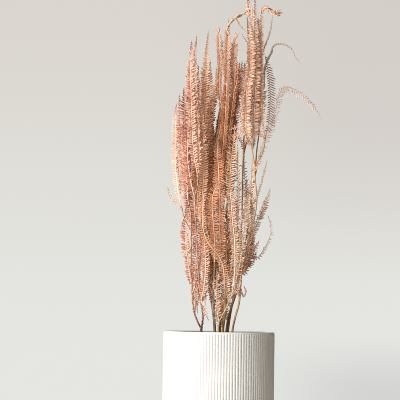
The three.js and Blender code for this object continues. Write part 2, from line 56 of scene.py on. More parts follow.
# The wall's outside from the base to the lip: height, how far it draws in, and how deep the grooves are there.
OUTSIDE = [(0, 1.1, 0), (0.3, 0.5, 0.3), (0.9, 0.1, 0.8), (1.8, 0, 1)]
OUTSIDE += [(height, 0, 1) for height in range(20, 200, 20)]
OUTSIDE += [(196.2, 0, 1), (196.9, 0.05, 0.85), (197.3, 0.2, 0.35), (197.6, 0.4, 0.05), (197.9, 0.45, 0)]
OUTSIDE += [(198.5, 0.35, 0), (199.1, 0.5, 0), (199.5, 0.8, 0), (199.8, 1.3, 0), (200, 2.0, 0)]
# The lip's top, the wall's inside and the floor: height and radius.
INSIDE = [(200, 72.2), (199.9, 71.6), (199.6, 71.0), (199, 70.4), (198, 70.05), (196, 70), (150, 70), (100, 70)]
INSIDE += [(50, 70), (12, 70), (9, 69.2), (7, 67.6), (6.2, 65.5), (6, 60), (6, 30), (6, 8)]


def linear(colour):
    """The linear RGBA of a hex colour as it is seen on a screen."""
    shares = [int(colour[i : i + 2], 16) / 255 for i in (1, 3, 5)]
    return [s / 12.92 if s <= 0.04045 else ((s + 0.055) / 1.055) ** 2.4 for s in shares] + [1]


def feed(tree, node, inputs):
    """Sets a node's inputs. Each is a value, or the socket of another node that feeds it."""
    for key, value in inputs.items():
        if isinstance(value, bpy.types.NodeSocket):
            tree.links.new(value, node.inputs[key])
        else:
            node.inputs[key].default_value = value


def put(tree, kind, settings=None, inputs=None):
    """Adds a node with its settings and inputs."""
    made = tree.nodes.new("ShaderNode" + kind)
    for name, value in (settings or {}).items():
        setattr(made, name, value)
    feed(tree, made, inputs or {})
    return made


def calculate(tree, operation, *values):
    """The output of a Math node."""
    return put(tree, "Math", {"operation": operation}, dict(enumerate(values))).outputs[0]


def times(tree, value, factor):
    """A value multiplied by another."""
    return calculate(tree, "MULTIPLY", value, factor)


def place_on(tree):
    """Where a point of the surface lies on the object: x, y and z in metres."""
    return put(tree, "SeparateXYZ", {}, {0: put(tree, "TexCoord").outputs["Object"]}).outputs


def remap(tree, value, low, high, new_low=0.0, new_high=1.0):
    """A value that runs smoothly from one range to another, and is held at its ends."""
    inputs = {0: value, 1: low, 2: high, 3: new_low, 4: new_high}
    return put(tree, "MapRange", {"interpolation_type": "SMOOTHSTEP"}, inputs).outputs[0]


def tint(tree, share, colour, other):
    """A colour that turns into the other by that share."""
    return put(tree, "Mix", {"data_type": "RGBA"}, {0: share, 6: colour, 7: other}).outputs[2]


def speckle(tree, vector, scale, detail=2.0):
    """A soft random value around a half."""
    return put(tree, "TexNoise", {}, {"Vector": vector, "Scale": scale, "Detail": detail}).outputs[0]


def new_group(name, inputs, outputs):
    """A shader node group with named sockets. Returns its tree, its input node and its output node."""
    tree = bpy.data.node_groups.new(name, "ShaderNodeTree")
    for socket, kind in inputs.items():
        tree.interface.new_socket(socket, in_out="INPUT", socket_type="NodeSocket" + kind)
    for socket, kind in outputs.items():
        tree.interface.new_socket(socket, in_out="OUTPUT", socket_type="NodeSocket" + kind)
    return tree, tree.nodes.new("NodeGroupInput").outputs, tree.nodes.new("NodeGroupOutput").inputs


def use_group(tree, group, inputs):
    """Places a group in a material with its own values."""
    placed = tree.nodes.new("ShaderNodeGroup")
    placed.node_tree = group
    feed(tree, placed, inputs)
    return placed.outputs


def new_material(name):
    """A material with nothing in it but its shader. Returns the material, its tree and the shader."""
    material = bpy.data.materials.new(name)
    material.use_nodes = True
    tree = material.node_tree
    shader = tree.nodes["Principled BSDF"]
    return material, tree, shader


def finish_surface(tree, shader, colour, roughness, height, depth, strength=0.5):
    """Feeds the shader its colour, its roughness and the relief of a height that is depth metres deep."""
    tree.links.new(colour, shader.inputs["Base Color"])
    tree.links.new(roughness, shader.inputs["Roughness"])
    bump = put(tree, "Bump", {}, {"Height": height, "Distance": depth, "Strength": strength})
    tree.links.new(bump.outputs[0], shader.inputs["Normal"])


def new_piece(name, corners, faces, material, slot, replaced):
    """A smooth-shaded mesh in metres that rides on the vase and stands for a node of the frame."""
    mesh = bpy.data.meshes.new(name)
    mesh.from_pydata((np.asarray(corners, float) * MM).tolist(), [], faces)
    mesh.polygons.foreach_set("use_smooth", [True] * len(mesh.polygons))
    mesh.materials.append(material)
    piece = bpy.data.objects.new(name, mesh)
    bpy.context.scene.collection.objects.link(piece)
    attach(piece, "root")
    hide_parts(replaced)
    return piece


def rings_of(rows, columns):
    """Faces between closed rings of corners, with the first and the last ring closed by a flat face."""
    faces = [tuple(range(columns))[::-1]]
    for row in range(rows - 1):
        here, above = row * columns, (row + 1) * columns
        for column in range(columns):
            beside = (column + 1) % columns
            faces.append((here + column, here + beside, above + beside, above + column))
    faces.append(tuple((rows - 1) * columns + column for column in range(columns)))
    return faces


# Patches and grain that the glaze, the foam and the fern all show, each at its own scale.
MOTTLE, mottle_in, mottle_out = new_group(
    "patches and grain",
    {"Colour": "Color", "Patch Colour": "Color", "Patch Scale": "Float", "Grain Scale": "Float"},
    {"Colour": "Color", "Patch": "Float", "Grain": "Float"},
)
mottle_place = put(MOTTLE, "TexCoord").outputs["Object"]
mottle_patch = remap(MOTTLE, speckle(MOTTLE, mottle_place, mottle_in["Patch Scale"], 3), 0.35, 0.65)
MOTTLE.links.new(tint(MOTTLE, mottle_patch, mottle_in["Colour"], mottle_in["Patch Colour"]), mottle_out["Colour"])
MOTTLE.links.new(mottle_patch, mottle_out["Patch"])
MOTTLE.links.new(speckle(MOTTLE, mottle_place, mottle_in["Grain Scale"]), mottle_out["Grain"])


def glaze_material():
    """Satin white glaze: clean on the ribs' crests, with a little dust and painted shade in the grooves between them,
    and painted shade inside.
    """
    material, tree, shader = new_material("satin white glaze")
    surface = use_group(tree, MOTTLE, {
        "Colour": linear("#e4e3e1"), "Patch Colour": linear("#e0deda"), "Patch Scale": 26, "Grain Scale": 2600,
    })
    place = place_on(tree)
    squares = calculate(tree, "ADD", times(tree, place[0], place[0]), times(tree, place[1], place[1]))
    # Metres from the axis: the crests stand at 0.075, the bottom of the grooves at 0.0741 and the inner wall at 0.07.
    radius = calculate(tree, "POWER", squares, 0.5)
    is_outside = remap(tree, radius, 0.0715, 0.0735)
    in_groove = times(tree, remap(tree, radius, 0.07445, 0.0740), is_outside)
    # The grooves are tinted darker: a little dust, and painted shade where the ribs' flanks shade them.
    colour = tint(tree, times(tree, in_groove, 0.12), surface["Colour"], linear("#c8c1b5"))
    # The inside is painted a dark grey-brown: painted shade for the vase's shaded inside.
    inside_shade = remap(tree, radius, 0.0712, 0.0702)
    colour = tint(tree, times(tree, inside_shade, 0.85), colour, linear("#6d665c"))
    # Small pinholes, few and far between, tinted darker: painted shade in the pits.
    pits = put(tree, "TexVoronoi", {}, {"Vector": put(tree, "TexCoord").outputs["Object"], "Scale": 210})
    pinhole = remap(tree, pits.outputs["Distance"], 0.11, 0.04)
    colour = tint(tree, times(tree, pinhole, 0.25), colour, linear("#a39a8c"))
    # The base is bare, where it was wiped before the firing.
    is_bare = remap(tree, place[2], 0.0012, 0.0004)
    colour = tint(tree, is_bare, colour, linear("#d9cfc0"))
    duller = times(tree, calculate(tree, "MAXIMUM", is_bare, in_groove), 0.3)
    roughness = calculate(tree, "ADD", remap(tree, surface["Patch"], 0, 1, 0.42, 0.52), duller)
    relief = calculate(tree, "SUBTRACT", surface["Grain"], pinhole)
    finish_surface(tree, shader, colour, roughness, relief, 0.00008)
    shader.inputs["Specular IOR Level"].default_value = 0.45
    return material


def vase_mesh():
    """Rings of corners up the ribbed outside, over the lip, down the inside and across the floor."""
    corners = []
    turns = [(rib + share) / RIB_COUNT * math.tau for rib in range(RIB_COUNT) for share in RIB_CORNERS]
    grooves = [abs(2 * share - 1) ** GROOVE_POWER for _ in range(RIB_COUNT) for share in RIB_CORNERS]
    for height, inward, depth in OUTSIDE:
        for turn, groove in zip(turns, grooves):
            radius = VASE_RADIUS - inward - RIB_DEPTH * depth * groove
            corners.append((radius * math.cos(turn), radius * math.sin(turn), height))
    for height, radius in INSIDE:
        corners += [(radius * math.cos(turn), radius * math.sin(turn), height) for turn in turns]
    return corners, rings_of(len(OUTSIDE) + len(INSIDE), len(turns))


new_piece("ribbed_vase", *vase_mesh(), glaze_material(), slot="vase", replaced="vase")


# The foam: a block of dry florist's foam, trimmed with a knife from a brick until it wedges inside the vase. It
# crumbles at its edges, and each stem stands in the hole that it was pushed into.
FOAM_TOP = 135
FOAM_CLEARANCE = 0.4
FOAM_FLATS = 17
FOAM_BEVEL = 6
COLUMNS_PER_FLAT = 9
STEM_HOLES = [(-15, -5), (-4, -1), (-4, 10), (0, -9), (6, -2), (1, 5), (16, -6), (11, 2), (8, 11)]
HOLE_REACH = 3.4
HOLE_DEPTH = 3
# The size of the crumbs at its skin, and of the hollows that the knife left across its top.
CRUMB_SIZE = 3.5
CUT_SIZE = 16
CUT_DEPTH = 0.8
# Rows of corners up its side, this far apart, and from the bevel to the middle of its top.
SIDE_ROW = 4
TOP_ROWS = 34


def seeded(state):
    """Draws between 0 and 1 that come out the same every time."""
    while True:
        state = (state * 1664525 + 1013904223) % 4294967296
        yield state / 4294967296


def foam_mesh():
    """Rings over the block's underside, up its knife-cut flats and across its crumbled top, worn inward only."""
    draws = seeded(5)
    outer = VASE_RADIUS - VASE_WALL - FOAM_CLEARANCE
    turns = [(flat + 0.5 * next(draws)) / FOAM_FLATS * math.tau for flat in range(FOAM_FLATS)]
    edge = []
    for turn, following in zip(turns, turns[1:] + [turns[0] + math.tau]):
        start = Vector((math.cos(turn), math.sin(turn))) * outer
        end = Vector((math.cos(following), math.sin(following))) * outer
        edge += [start.lerp(end, step / COLUMNS_PER_FLAT) for step in range(COLUMNS_PER_FLAT)]
    foot = VASE_FLOOR + FOAM_CLEARANCE
    rings = [(0.12, foot), (0.45, foot), (0.8, foot), (1 - FOAM_BEVEL / outer, foot), (1, foot + FOAM_BEVEL)]
    rings += [(1, height) for height in np.arange(foot + FOAM_BEVEL + SIDE_ROW, FOAM_TOP - FOAM_BEVEL, SIDE_ROW)]
    rings += [(1, FOAM_TOP - FOAM_BEVEL), (1 - 0.5 * FOAM_BEVEL / outer, FOAM_TOP - 0.5 * FOAM_BEVEL)]
    rings += [(share, FOAM_TOP) for share in np.linspace(1 - FOAM_BEVEL / outer, 0.03, TOP_ROWS)]
    corners = []
    for share, height in rings:
        for point in edge:
            x, y = point * share
            crumb = noise.noise((x / CRUMB_SIZE, y / CRUMB_SIZE, height / CRUMB_SIZE))
            wear = max(0, 0.35 + 0.45 * (crumb + 0.6 * noise.noise((x, y, height))))
            on_side = share >= 0.99
            lost = 0 if on_side else wear
            if height == FOAM_TOP:
                lost += CUT_DEPTH * (0.5 + 0.5 * noise.noise((x / CUT_SIZE, y / CUT_SIZE, 7)))
                for hole_x, hole_y in STEM_HOLES:
                    near = 1 - math.hypot(x - hole_x, y - hole_y) / HOLE_REACH
                    lost += HOLE_DEPTH * max(0, near)
            inward = 1 - wear * 0.9 / outer if on_side else 1
            is_under = height < foot + 1
            corners.append((x * inward, y * inward, height + lost if is_under else height - lost))
    return corners, rings_of(len(rings), len(edge))


def foam_material():
    """Dry foam: dusty grey-green, full of fine open pores painted dark with shade, paler where the knife bruised it.
    """
    material, tree, shader = new_material("dry florist's foam")
    surface = use_group(tree, MOTTLE, {
        "Colour": linear("#85846b"), "Patch Colour": linear("#6f7158"), "Patch Scale": 60, "Grain Scale": 1500,
    })
    pores = put(tree, "TexVoronoi", {}, {"Vector": put(tree, "TexCoord").outputs["Object"], "Scale": 900})
    open_pore = remap(tree, pores.outputs["Distance"], 0.35, 0.1)
    # The open pores are tinted darker: painted shade in them.
    colour = tint(tree, times(tree, open_pore, 0.6), surface["Colour"], linear("#4b4c3a"))
    dust = remap(tree, surface["Grain"], 0.58, 0.72)
    colour = tint(tree, times(tree, dust, 0.5), colour, linear("#a9a78c"))
    roughness = remap(tree, surface["Patch"], 0, 1, 0.9, 0.98)
    relief = calculate(tree, "SUBTRACT", surface["Grain"], open_pore)
    finish_surface(tree, shader, colour, roughness, relief, 0.0006, 0.8)
    shader.inputs["Specular IOR Level"].default_value = 0.2
    return material


new_piece("foam_block", *foam_mesh(), foam_material(), slot="foam", replaced="foam")


# The fern: nine fronds of preserved umbrella fern. Each wiry stalk forks again and again, and its last branches
# are long midribs with narrow leaflets down both sides, like a comb. They were soaked in dye and dried upright.
STALK_FLATS = 10
STALK_ROW = 3.5
STALK_RIDGE = 0.07
THINNEST_STALK = 0.95
# How far a stalk thins to its fork, how much stouter its foot is at the rim, and how a fork's knot swells.
STALK_TAPER = 0.82
STALK_FOOT = 1.25
KNOT_SWELL = 0.45
# Where a branch is rooted: behind the knot's middle, and to its side.
ROOT_DEPTH = 0.7
ROOT_OFFSET = 0.5
# The bud that rests on a knot: its rise above it, and its share of the knot's radius there.
BUD = [(1.1, 0.95), (2.1, 0.6), (2.9, 0.12)]
# Midribs, and the finer ones that fork off them.
MIDRIB_FLATS = 6
FINE_MIDRIB_FLATS = 4
MIDRIB_RADIUS = 0.72
FINE_MIDRIB = 0.8
MIDRIB_LIFT = 0.75
ROLL_RANGE = 50
SIDE_RUN = 74
SIDE_STEP = 30
SIDE_REACH = 0.67
SHORTEST_WITH_SIDES = 5.5
# Leaflets: angles in degrees, first how far loose ones stray from their lean and fold, and how they close at a tip.
LEAFLET_PITCH = 3.1
LEAFLET_HALF_WIDTH = 1.15
LEAFLET_FOLD = 30
LEAN_SPREAD, FOLD_SPREAD = 26, 36
CLOSING_LEAN, CLOSING_FOLD = 38, 20
PRESSED_LEAN, PRESSED_FOLD = 58, 35
FURLED_OUT, FURLED_AHEAD, FURLED_WIDTH = 0.87, 0.5, 1.2
BARE_START = 7
DROPPED_SHARE = 0.04
# Round a leaflet's section: how far from its middle and how high, with both margins rolled under.
LEAFLET_SECTION = [(-1, -0.26), (-0.5, 0.06), (0, 0), (0.5, 0.06), (1, -0.26), (0, -0.32)]
FINE_SECTION = [(-1, -0.15), (0, 0.08), (1, -0.15), (0, -0.3)]
# Along a leaflet: the share of its length, and of its width there.
LEAFLET_ROWS = [(0, 0.62), (0.28, 1), (0.62, 0.92), (0.9, 0.5)]
FINE_ROWS = [(0, 0.6), (0.4, 1), (0.85, 0.6)]


def stem(radius, path, *branches):
    """A stalk from inside the foam. A path is a run of points: x and y from the vase's axis, z above its rim."""
    return {"radius": radius, "path": path, "branches": branches}


def arm(path, *branches, leafy=0):
    """A bare branch, or one with leaflets as short as leafy says along its upper part."""
    return {"path": path, "branches": branches, "leafy": leafy}


# How a midrib's leaflets stand where its row says nothing else. A share is of the way from its foot to its tip.
HABIT = {
    "lean": 8,  # how far they lean to the tip
    "open": None,  # their lift as it is dressed, where it isn't the fold of the frame's own
    "taper": None,  # the share that they shorten from, where it isn't tip_from
    "end": 0.18,  # their length at the tip, of their reach
    "long": 0.92,  # their greatest length, of their reach
    "weak": 1,  # how long those of the second side are, of the first side's
    "slim": 1,  # how wide they are
    "gap": 1,  # how far apart they are
    "loose": 1,  # how unruly they are
    "press": 1,  # the share that they lie pressed along the midrib from
    "furl": (1, 0, 0),  # the share that they roll up from, their length there, and the thickness of the rolled tip
    "wither": (0.86, 1),  # the shares where they begin to brown and are brown
    "rib": 1,  # how stout the midrib is
    "roll": None,  # how far the midrib is turned about itself; with none it is drawn
    "alone": False,  # whether it has no finer midribs beside it
    "tone": None,  # how deep the dye is, below nought faded; with none it is drawn
}


def spray(path, reach, fold=LEAFLET_FOLD, tip_from=0.8, **habit):
    """A leafy midrib: its leaflets' length, their lift, and the share of the way that they shorten from."""
    return {"path": path, "reach": reach, "fold": fold, "tip_from": tip_from, **HABIT, **habit}


def sprig(path, reach, tip_from=0.7, **habit):
    """A small side shoot. Its path starts on the midrib or stalk that it grows from."""
    return {**spray(path, reach, LEAFLET_FOLD, tip_from), "lean": 20, "tone": 0.5, "aside": True, **habit}


def smooth_line(points):
    """The smooth curve through the points, as a dense run of points."""
    points = [np.array(point, float) for point in points]
    padded = [2 * points[0] - points[1], *points, 2 * points[-1] - points[-2]]
    line = []
    for before, start, end, after in zip(padded, padded[1:], padded[2:], padded[3:]):
        pairs = ((before, start), (start, end), (end, after))
        first, middle, last = (max(np.linalg.norm(b - a) ** 0.5, 1e-4) for a, b in pairs)
        leave = middle * ((start - before) / first - (end - before) / (first + middle) + (end - start) / middle)
        arrive = middle * ((end - start) / middle - (after - start) / (middle + last) + (after - end) / last)
        for share in np.arange(16) / 16:
            bend = -3 * start + 3 * end - 2 * leave - arrive
            twist = 2 * start - 2 * end + leave + arrive
            line.append(start + leave * share + bend * share**2 + twist * share**3)
    return np.array([*line, points[-1]])


def length_of(line):
    """A line's length along its bends."""
    return float(np.linalg.norm(np.diff(line, axis=0), axis=1).sum())


def unit(vector):
    """A vector's direction, with a length of one."""
    return vector / np.linalg.norm(vector)


def sections_of(line, steps, first_side):
    """Even cross-sections along a line: their points, headings, sides and up directions."""
    reached = np.concatenate([[0], np.cumsum(np.linalg.norm(np.diff(line, axis=0), axis=1))])
    wanted = np.linspace(0, reached[-1], steps + 1)
    points = np.stack([np.interp(wanted, reached, line[:, axis]) for axis in range(3)], axis=1)
    headings, sides, ups = [], [], []
    side = np.array(first_side, float)
    for row in range(steps + 1):
        heading = unit(points[min(row + 1, steps)] - points[max(row - 1, 0)])
        side = unit(side - heading * side.dot(heading))
        headings.append(heading)
        sides.append(side)
        ups.append(np.cross(side, heading))
    return points, np.array(headings), np.array(sides), np.array(ups)


def new_growth():
    """The corners and faces of a frond as it grows, with the values that its colours read."""
    return {"corners": [], "faces": [], "along": [], "across": [], "wood": [], "sprig": [], "tone": []}


def add_tube(growth, centres, sides, ups, widths, heights, flats, wood, sprig, tone):
    """A closed tube of oval sections. Its ends come to a point where their width is nought."""
    base = len(growth["corners"])
    rows = len(centres)
    for row in range(rows):
        for flat in range(flats):
            turn = flat / flats * math.tau
            ridge = 1 + STALK_RIDGE * (-1) ** flat
            corner = sides[row] * widths[row] * math.cos(turn) - ups[row] * heights[row] * math.sin(turn)
            growth["corners"].append(centres[row] + corner * ridge)
            growth["across"].append(2 * flat / flats - 1)
            growth["along"].append(row / rows)
            growth["sprig"].append(sprig[row])
    growth["wood"] += [wood] * (rows * flats)
    growth["tone"] += [tone] * (rows * flats)
    growth["faces"] += [tuple(base + corner for corner in face) for face in rings_of(rows, flats)]


def add_leaflet(growth, root, out, normal, ahead, length, width, curl, hook, sprig, tone, fine=False):
    """A thin blade with rolled margins, which curls along its length, hooks forward and ends in a blunt tip."""
    base = len(growth["corners"])
    across = np.cross(out, normal)
    section, rows = (FINE_SECTION, FINE_ROWS) if fine else (LEAFLET_SECTION, LEAFLET_ROWS)
    for share, wide in rows:
        centre = root + out * length * share + (ahead * hook + normal * curl) * length * share**2
        for aside, lift in section:
            growth["corners"].append(centre + across * aside * width * wide + normal * lift * width)
            growth["across"].append(aside)
            growth["along"].append(share)
    growth["corners"].append(root + out * length + (ahead * hook + normal * (curl - 0.02)) * length)
    growth["across"].append(0)
    growth["along"].append(1)
    around = len(section)
    tip = len(rows) * around
    growth["wood"] += [0] * (tip + 1)
    growth["sprig"] += [sprig] * (tip + 1)
    growth["tone"] += [tone] * (tip + 1)
    sleeve = rings_of(len(rows), around)[:-1]
    sleeve += [(tip - around + corner, tip - around + (corner + 1) % around, tip) for corner in range(around)]
    growth["faces"] += [tuple(base + corner for corner in face) for face in sleeve]


def grow_stalk(growth, line, thick, thin, leafy, tone):
    """A round stalk that thins as it climbs and ends in a knot, with a resting bud between its branches."""
    length = length_of(line)
    steps = max(4, round(length / STALK_ROW))
    points, headings, sides, ups = sections_of(line, steps, (1, 0, 0))
    shares = np.linspace(0, 1, steps + 1)
    radii = thick + (thin - thick) * shares
    radii[-1] += KNOT_SWELL
    radii[-2] += KNOT_SWELL * 0.35
    centres = np.concatenate([points, [points[-1] + headings[-1] * rise for rise, _ in BUD]])
    radii = np.concatenate([radii, [radii[-1] * share for _, share in BUD]])
    sides, ups = (np.concatenate([axes, [axes[-1]] * len(BUD)]) for axes in (sides, ups))
    add_tube(growth, centres, sides, ups, radii, radii, STALK_FLATS, 1, [0] * len(centres), tone)
    if leafy:
        dot_with_leaflets(growth, line, leafy, tone)


def dot_with_leaflets(growth, line, reach, tone):
    """Small scattered leaflets along a stalk's upper part."""
    steps = max(3, round(length_of(line) / 1.5))
    points, headings, sides, ups = sections_of(line, steps, (1, 0, 0))
    for row in range(steps // 6, steps):
        turn = next(leaf_draws) * math.tau
        out = sides[row] * math.cos(turn) + ups[row] * math.sin(turn)
        lean = math.radians(-10 + 45 * next(leaf_draws))
        heading = headings[row]
        direction = out * math.cos(lean) + heading * math.sin(lean)
        normal = unit(np.cross(np.cross(out, heading), direction))
        length = reach * (0.55 + 0.7 * next(leaf_draws))
        curl = 0.5 * (next(leaf_draws) - 0.4)
        add_leaflet(growth, points[row], direction, normal, heading, length, 0.8, curl, 0.3, 0, tone)


def comb(growth, line, first_side, part, reach, tone, fine):
    """A midrib with leaflets in turn to one side and the other, longest in the middle, drawn to a fine tip."""
    pairs = max(4, round(length_of(line) / (LEAFLET_PITCH * part["gap"])))
    points, headings, sides, ups = sections_of(line, pairs * 2, first_side)
    rows = pairs * 2 + 1
    shares = np.linspace(0, 1, rows)
    radii = MIDRIB_RADIUS * part["rib"] * (1 - 0.6 * shares) * (FINE_MIDRIB if fine else 1)
    centres = points + ups * (MIDRIB_LIFT * (1 - 0.4 * shares))[:, None]
    blunt = part["end"] > 0.4
    taper = part["taper"] or part["tip_from"]
    ends = [0.1 * reach, 0.2 * reach] if blunt or fine else [0.35 * reach, 0.7 * reach]
    tube = np.concatenate([centres[::2], [centres[-1] + headings[-1] * end for end in ends]])
    rolled_up = np.clip((shares - part["furl"][0]) / 0.03, 0, 1) * np.clip((1.01 - shares) / 0.05, 0, 1)
    knobs = 0.8 + 0.25 * np.sin(np.arange(rows) * 1.7) + 0.2 * np.sin(np.arange(rows) * 0.9)
    radii = np.maximum(radii, part["furl"][2] * rolled_up * knobs)
    widths = np.concatenate([radii[::2], [radii[-1] * 0.7, 0.06]])
    tube_sides, tube_ups = (np.concatenate([axes[::2], [axes[-1]] * 2]) for axes in (sides, ups))
    live, dead = part["wither"]
    tube_shares = np.clip((np.concatenate([shares[::2], [1, 1]]) - live) / (dead - live), 0, 1)
    flats = FINE_MIDRIB_FLATS if fine else MIDRIB_FLATS
    add_tube(growth, tube, tube_sides, tube_ups, widths, widths * 0.9, flats, 0.5, tube_shares, tone)
    droop = 0.3 * (next(leaf_draws) - 0.2)
    first = 2 if fine or "aside" in part else round(BARE_START * 2 / LEAFLET_PITCH)
    for row in range(first, rows):
        draws = [next(leaf_draws) for _ in range(7)]
        if draws[0] < DROPPED_SHARE:
            continue
        share = shares[row]
        hand = 1 if row % 2 else -1
        swell = min(1, 0.35 + share / 0.25)
        shrink = 1 - (1 - part["end"]) * max(0, share - taper) / (1 - taper)
        length = reach * swell * shrink * (0.72 + 0.4 * draws[0]) * (part["weak"] if hand < 0 else 1)
        closing = max(0, (share - 0.94) / 0.06) if blunt else max(0, (share - 0.86) / 0.14)
        lean = math.radians(part["lean"] + LEAN_SPREAD * part["loose"] * (draws[1] - 0.5) + CLOSING_LEAN * closing)
        lift = part["fold"] if part["open"] is None else part["open"]
        fold = math.radians(lift + FOLD_SPREAD * part["loose"] * (draws[2] - 0.5) + CLOSING_FOLD * closing)
        if share > part["press"]:
            lean, fold = math.radians(PRESSED_LEAN), math.radians(PRESSED_FOLD)
        outward = sides[row] * hand * math.cos(fold) + ups[row] * math.sin(fold)
        out = outward * math.cos(lean) + headings[row] * math.sin(lean)
        face = ups[row] * math.cos(fold) - sides[row] * hand * math.sin(fold)
        normal = unit(face - out * face.dot(out))
        root = centres[row] + sides[row] * hand * radii[row] * 0.4
        width = LEAFLET_HALF_WIDTH * part["slim"] * min(1, 0.5 + reach / 12) * (0.85 + 0.3 * draws[3])
        curl = droop + 0.6 * part["loose"] * (draws[4] - 0.4)
        hook = (0.22 + 0.4 * (draws[5] - 0.5)) * part["loose"]
        if share > part["furl"][0]:
            turn = draws[1] * math.tau
            outward = sides[row] * math.cos(turn) + ups[row] * math.sin(turn)
            out = outward * FURLED_OUT + headings[row] * FURLED_AHEAD
            normal = headings[row] * FURLED_OUT - outward * FURLED_AHEAD
            length, width = part["furl"][1] * (0.5 + 0.7 * draws[3]), FURLED_WIDTH
            curl = 0.2 + 0.5 * draws[4]
        shade = tone + 0.4 * (draws[6] - 0.5)
        withered = min(1, max(0, (share - live) / (dead - live)))
        add_leaflet(growth, root, out, normal, headings[row], length, width, curl, hook, withered, shade, fine)
    return points, sides, ups


def grow_midrib(growth, line, part, tone):
    """A leafy midrib, and the finer ones that fork off its inner face and run along with it."""
    if "aside" in part:
        comb(growth, line, (1, 0.3, 0), part, part["reach"], tone, False)
        return
    middle = line[len(line) // 2]
    facing = unit(np.array([middle[0] * 0.2, -20.0 if middle[1] < 8 else 20.0, 0.0]))
    heading = unit(line[1] - line[0])
    rolled = next(roll_draws) - 0.5
    roll = math.radians(ROLL_RANGE * rolled if part["roll"] is None else part["roll"])
    flat_side = np.cross(heading, facing)
    first_side = flat_side * math.cos(roll) + np.cross(heading, flat_side) * math.sin(roll)
    reach = part["reach"] * part["long"]
    points, sides, ups = comb(growth, line, first_side, part, reach, tone, False)
    rows = len(points)
    if part["reach"] < SHORTEST_WITH_SIDES or part["alone"]:
        return
    beside = {**part, "taper": 0.75, "end": 0.18, "rib": 1, "furl": (1, 0, 0), "press": 1}
    hand = 1
    start = round((0.06 + 0.06 * next(leaf_draws)) * rows)
    last = round(rows * min(part["tip_from"], part["furl"][0]))
    while last - start > 14:
        stop = min(last, start + round(SIDE_RUN * 2 / LEAFLET_PITCH * (0.8 + 0.4 * next(leaf_draws))))
        path = []
        for share in (0, 0.12, 0.3, 0.5, 0.7, 0.86, 1):
            row = round(start + (stop - start) * share)
            spread = reach * min(1, share / 0.26)
            aside = spread * (0.32 + 0.3 * next(leaf_draws)) * hand
            inward = spread * (0.3 + 0.45 * next(leaf_draws))
            path.append(points[row] + sides[row] * aside - ups[row] * inward)
        side = sides[start] + ups[start] * (next(leaf_draws) - 0.5) * 1.2
        # Their tone is drawn deeper, a painted shade for where they lie inside the frond.
        comb(growth, smooth_line(path), side, beside, reach * SIDE_REACH, tone * 0.8 + 0.2, True)
        start += round(SIDE_STEP * 2 / LEAFLET_PITCH)
        hand = -hand


def grow(growth, part, parent_end=None, radius=None):
    """Grows a stem, arm, spray or sprig and what forks from it. A branch starts in the knot its parent ends in."""
    points = [np.array((x, y, VASE_HEIGHT + z), float) for x, y, z in part["path"]]
    if parent_end and "aside" not in part:
        point, heading = parent_end
        aside = points[0] - point
        aside = unit(aside - heading * aside.dot(heading))
        points.insert(0, point - heading * ROOT_DEPTH + aside * ROOT_OFFSET)
    line = smooth_line(points)
    if "reach" in part:
        tone = next(tone_draws) if part["tone"] is None else part["tone"]
        grow_midrib(growth, line, part, tone)
        return
    stout = 1 if parent_end else STALK_FOOT
    radius = radius or part["radius"]
    thin = max(THINNEST_STALK, radius * STALK_TAPER)
    grow_stalk(growth, line, radius * stout, thin * stout, part.get("leafy", 0), next(tone_draws))
    end = (line[-1], unit(line[-1] - line[-2]))
    for branch in part["branches"]:
        grow(growth, branch, end, thin)


# The dyed surface: leaflets patchy with dye, with pale rolled margins and midvein, painted shade at their roots and a
# painted highlight towards their tips, turning to the Tip colour where they wither near a midrib's tip, on stalks
# with lengthwise fibres.
DYED, dyed_in, dyed_out = new_group(
    "dyed fern",
    {"Leaf": "Color", "Deep": "Color", "Pale": "Color", "Tip": "Color", "Stalk": "Color", "Bark": "Color"},
    {"Colour": "Color", "Roughness": "Float", "Height": "Float"},
)


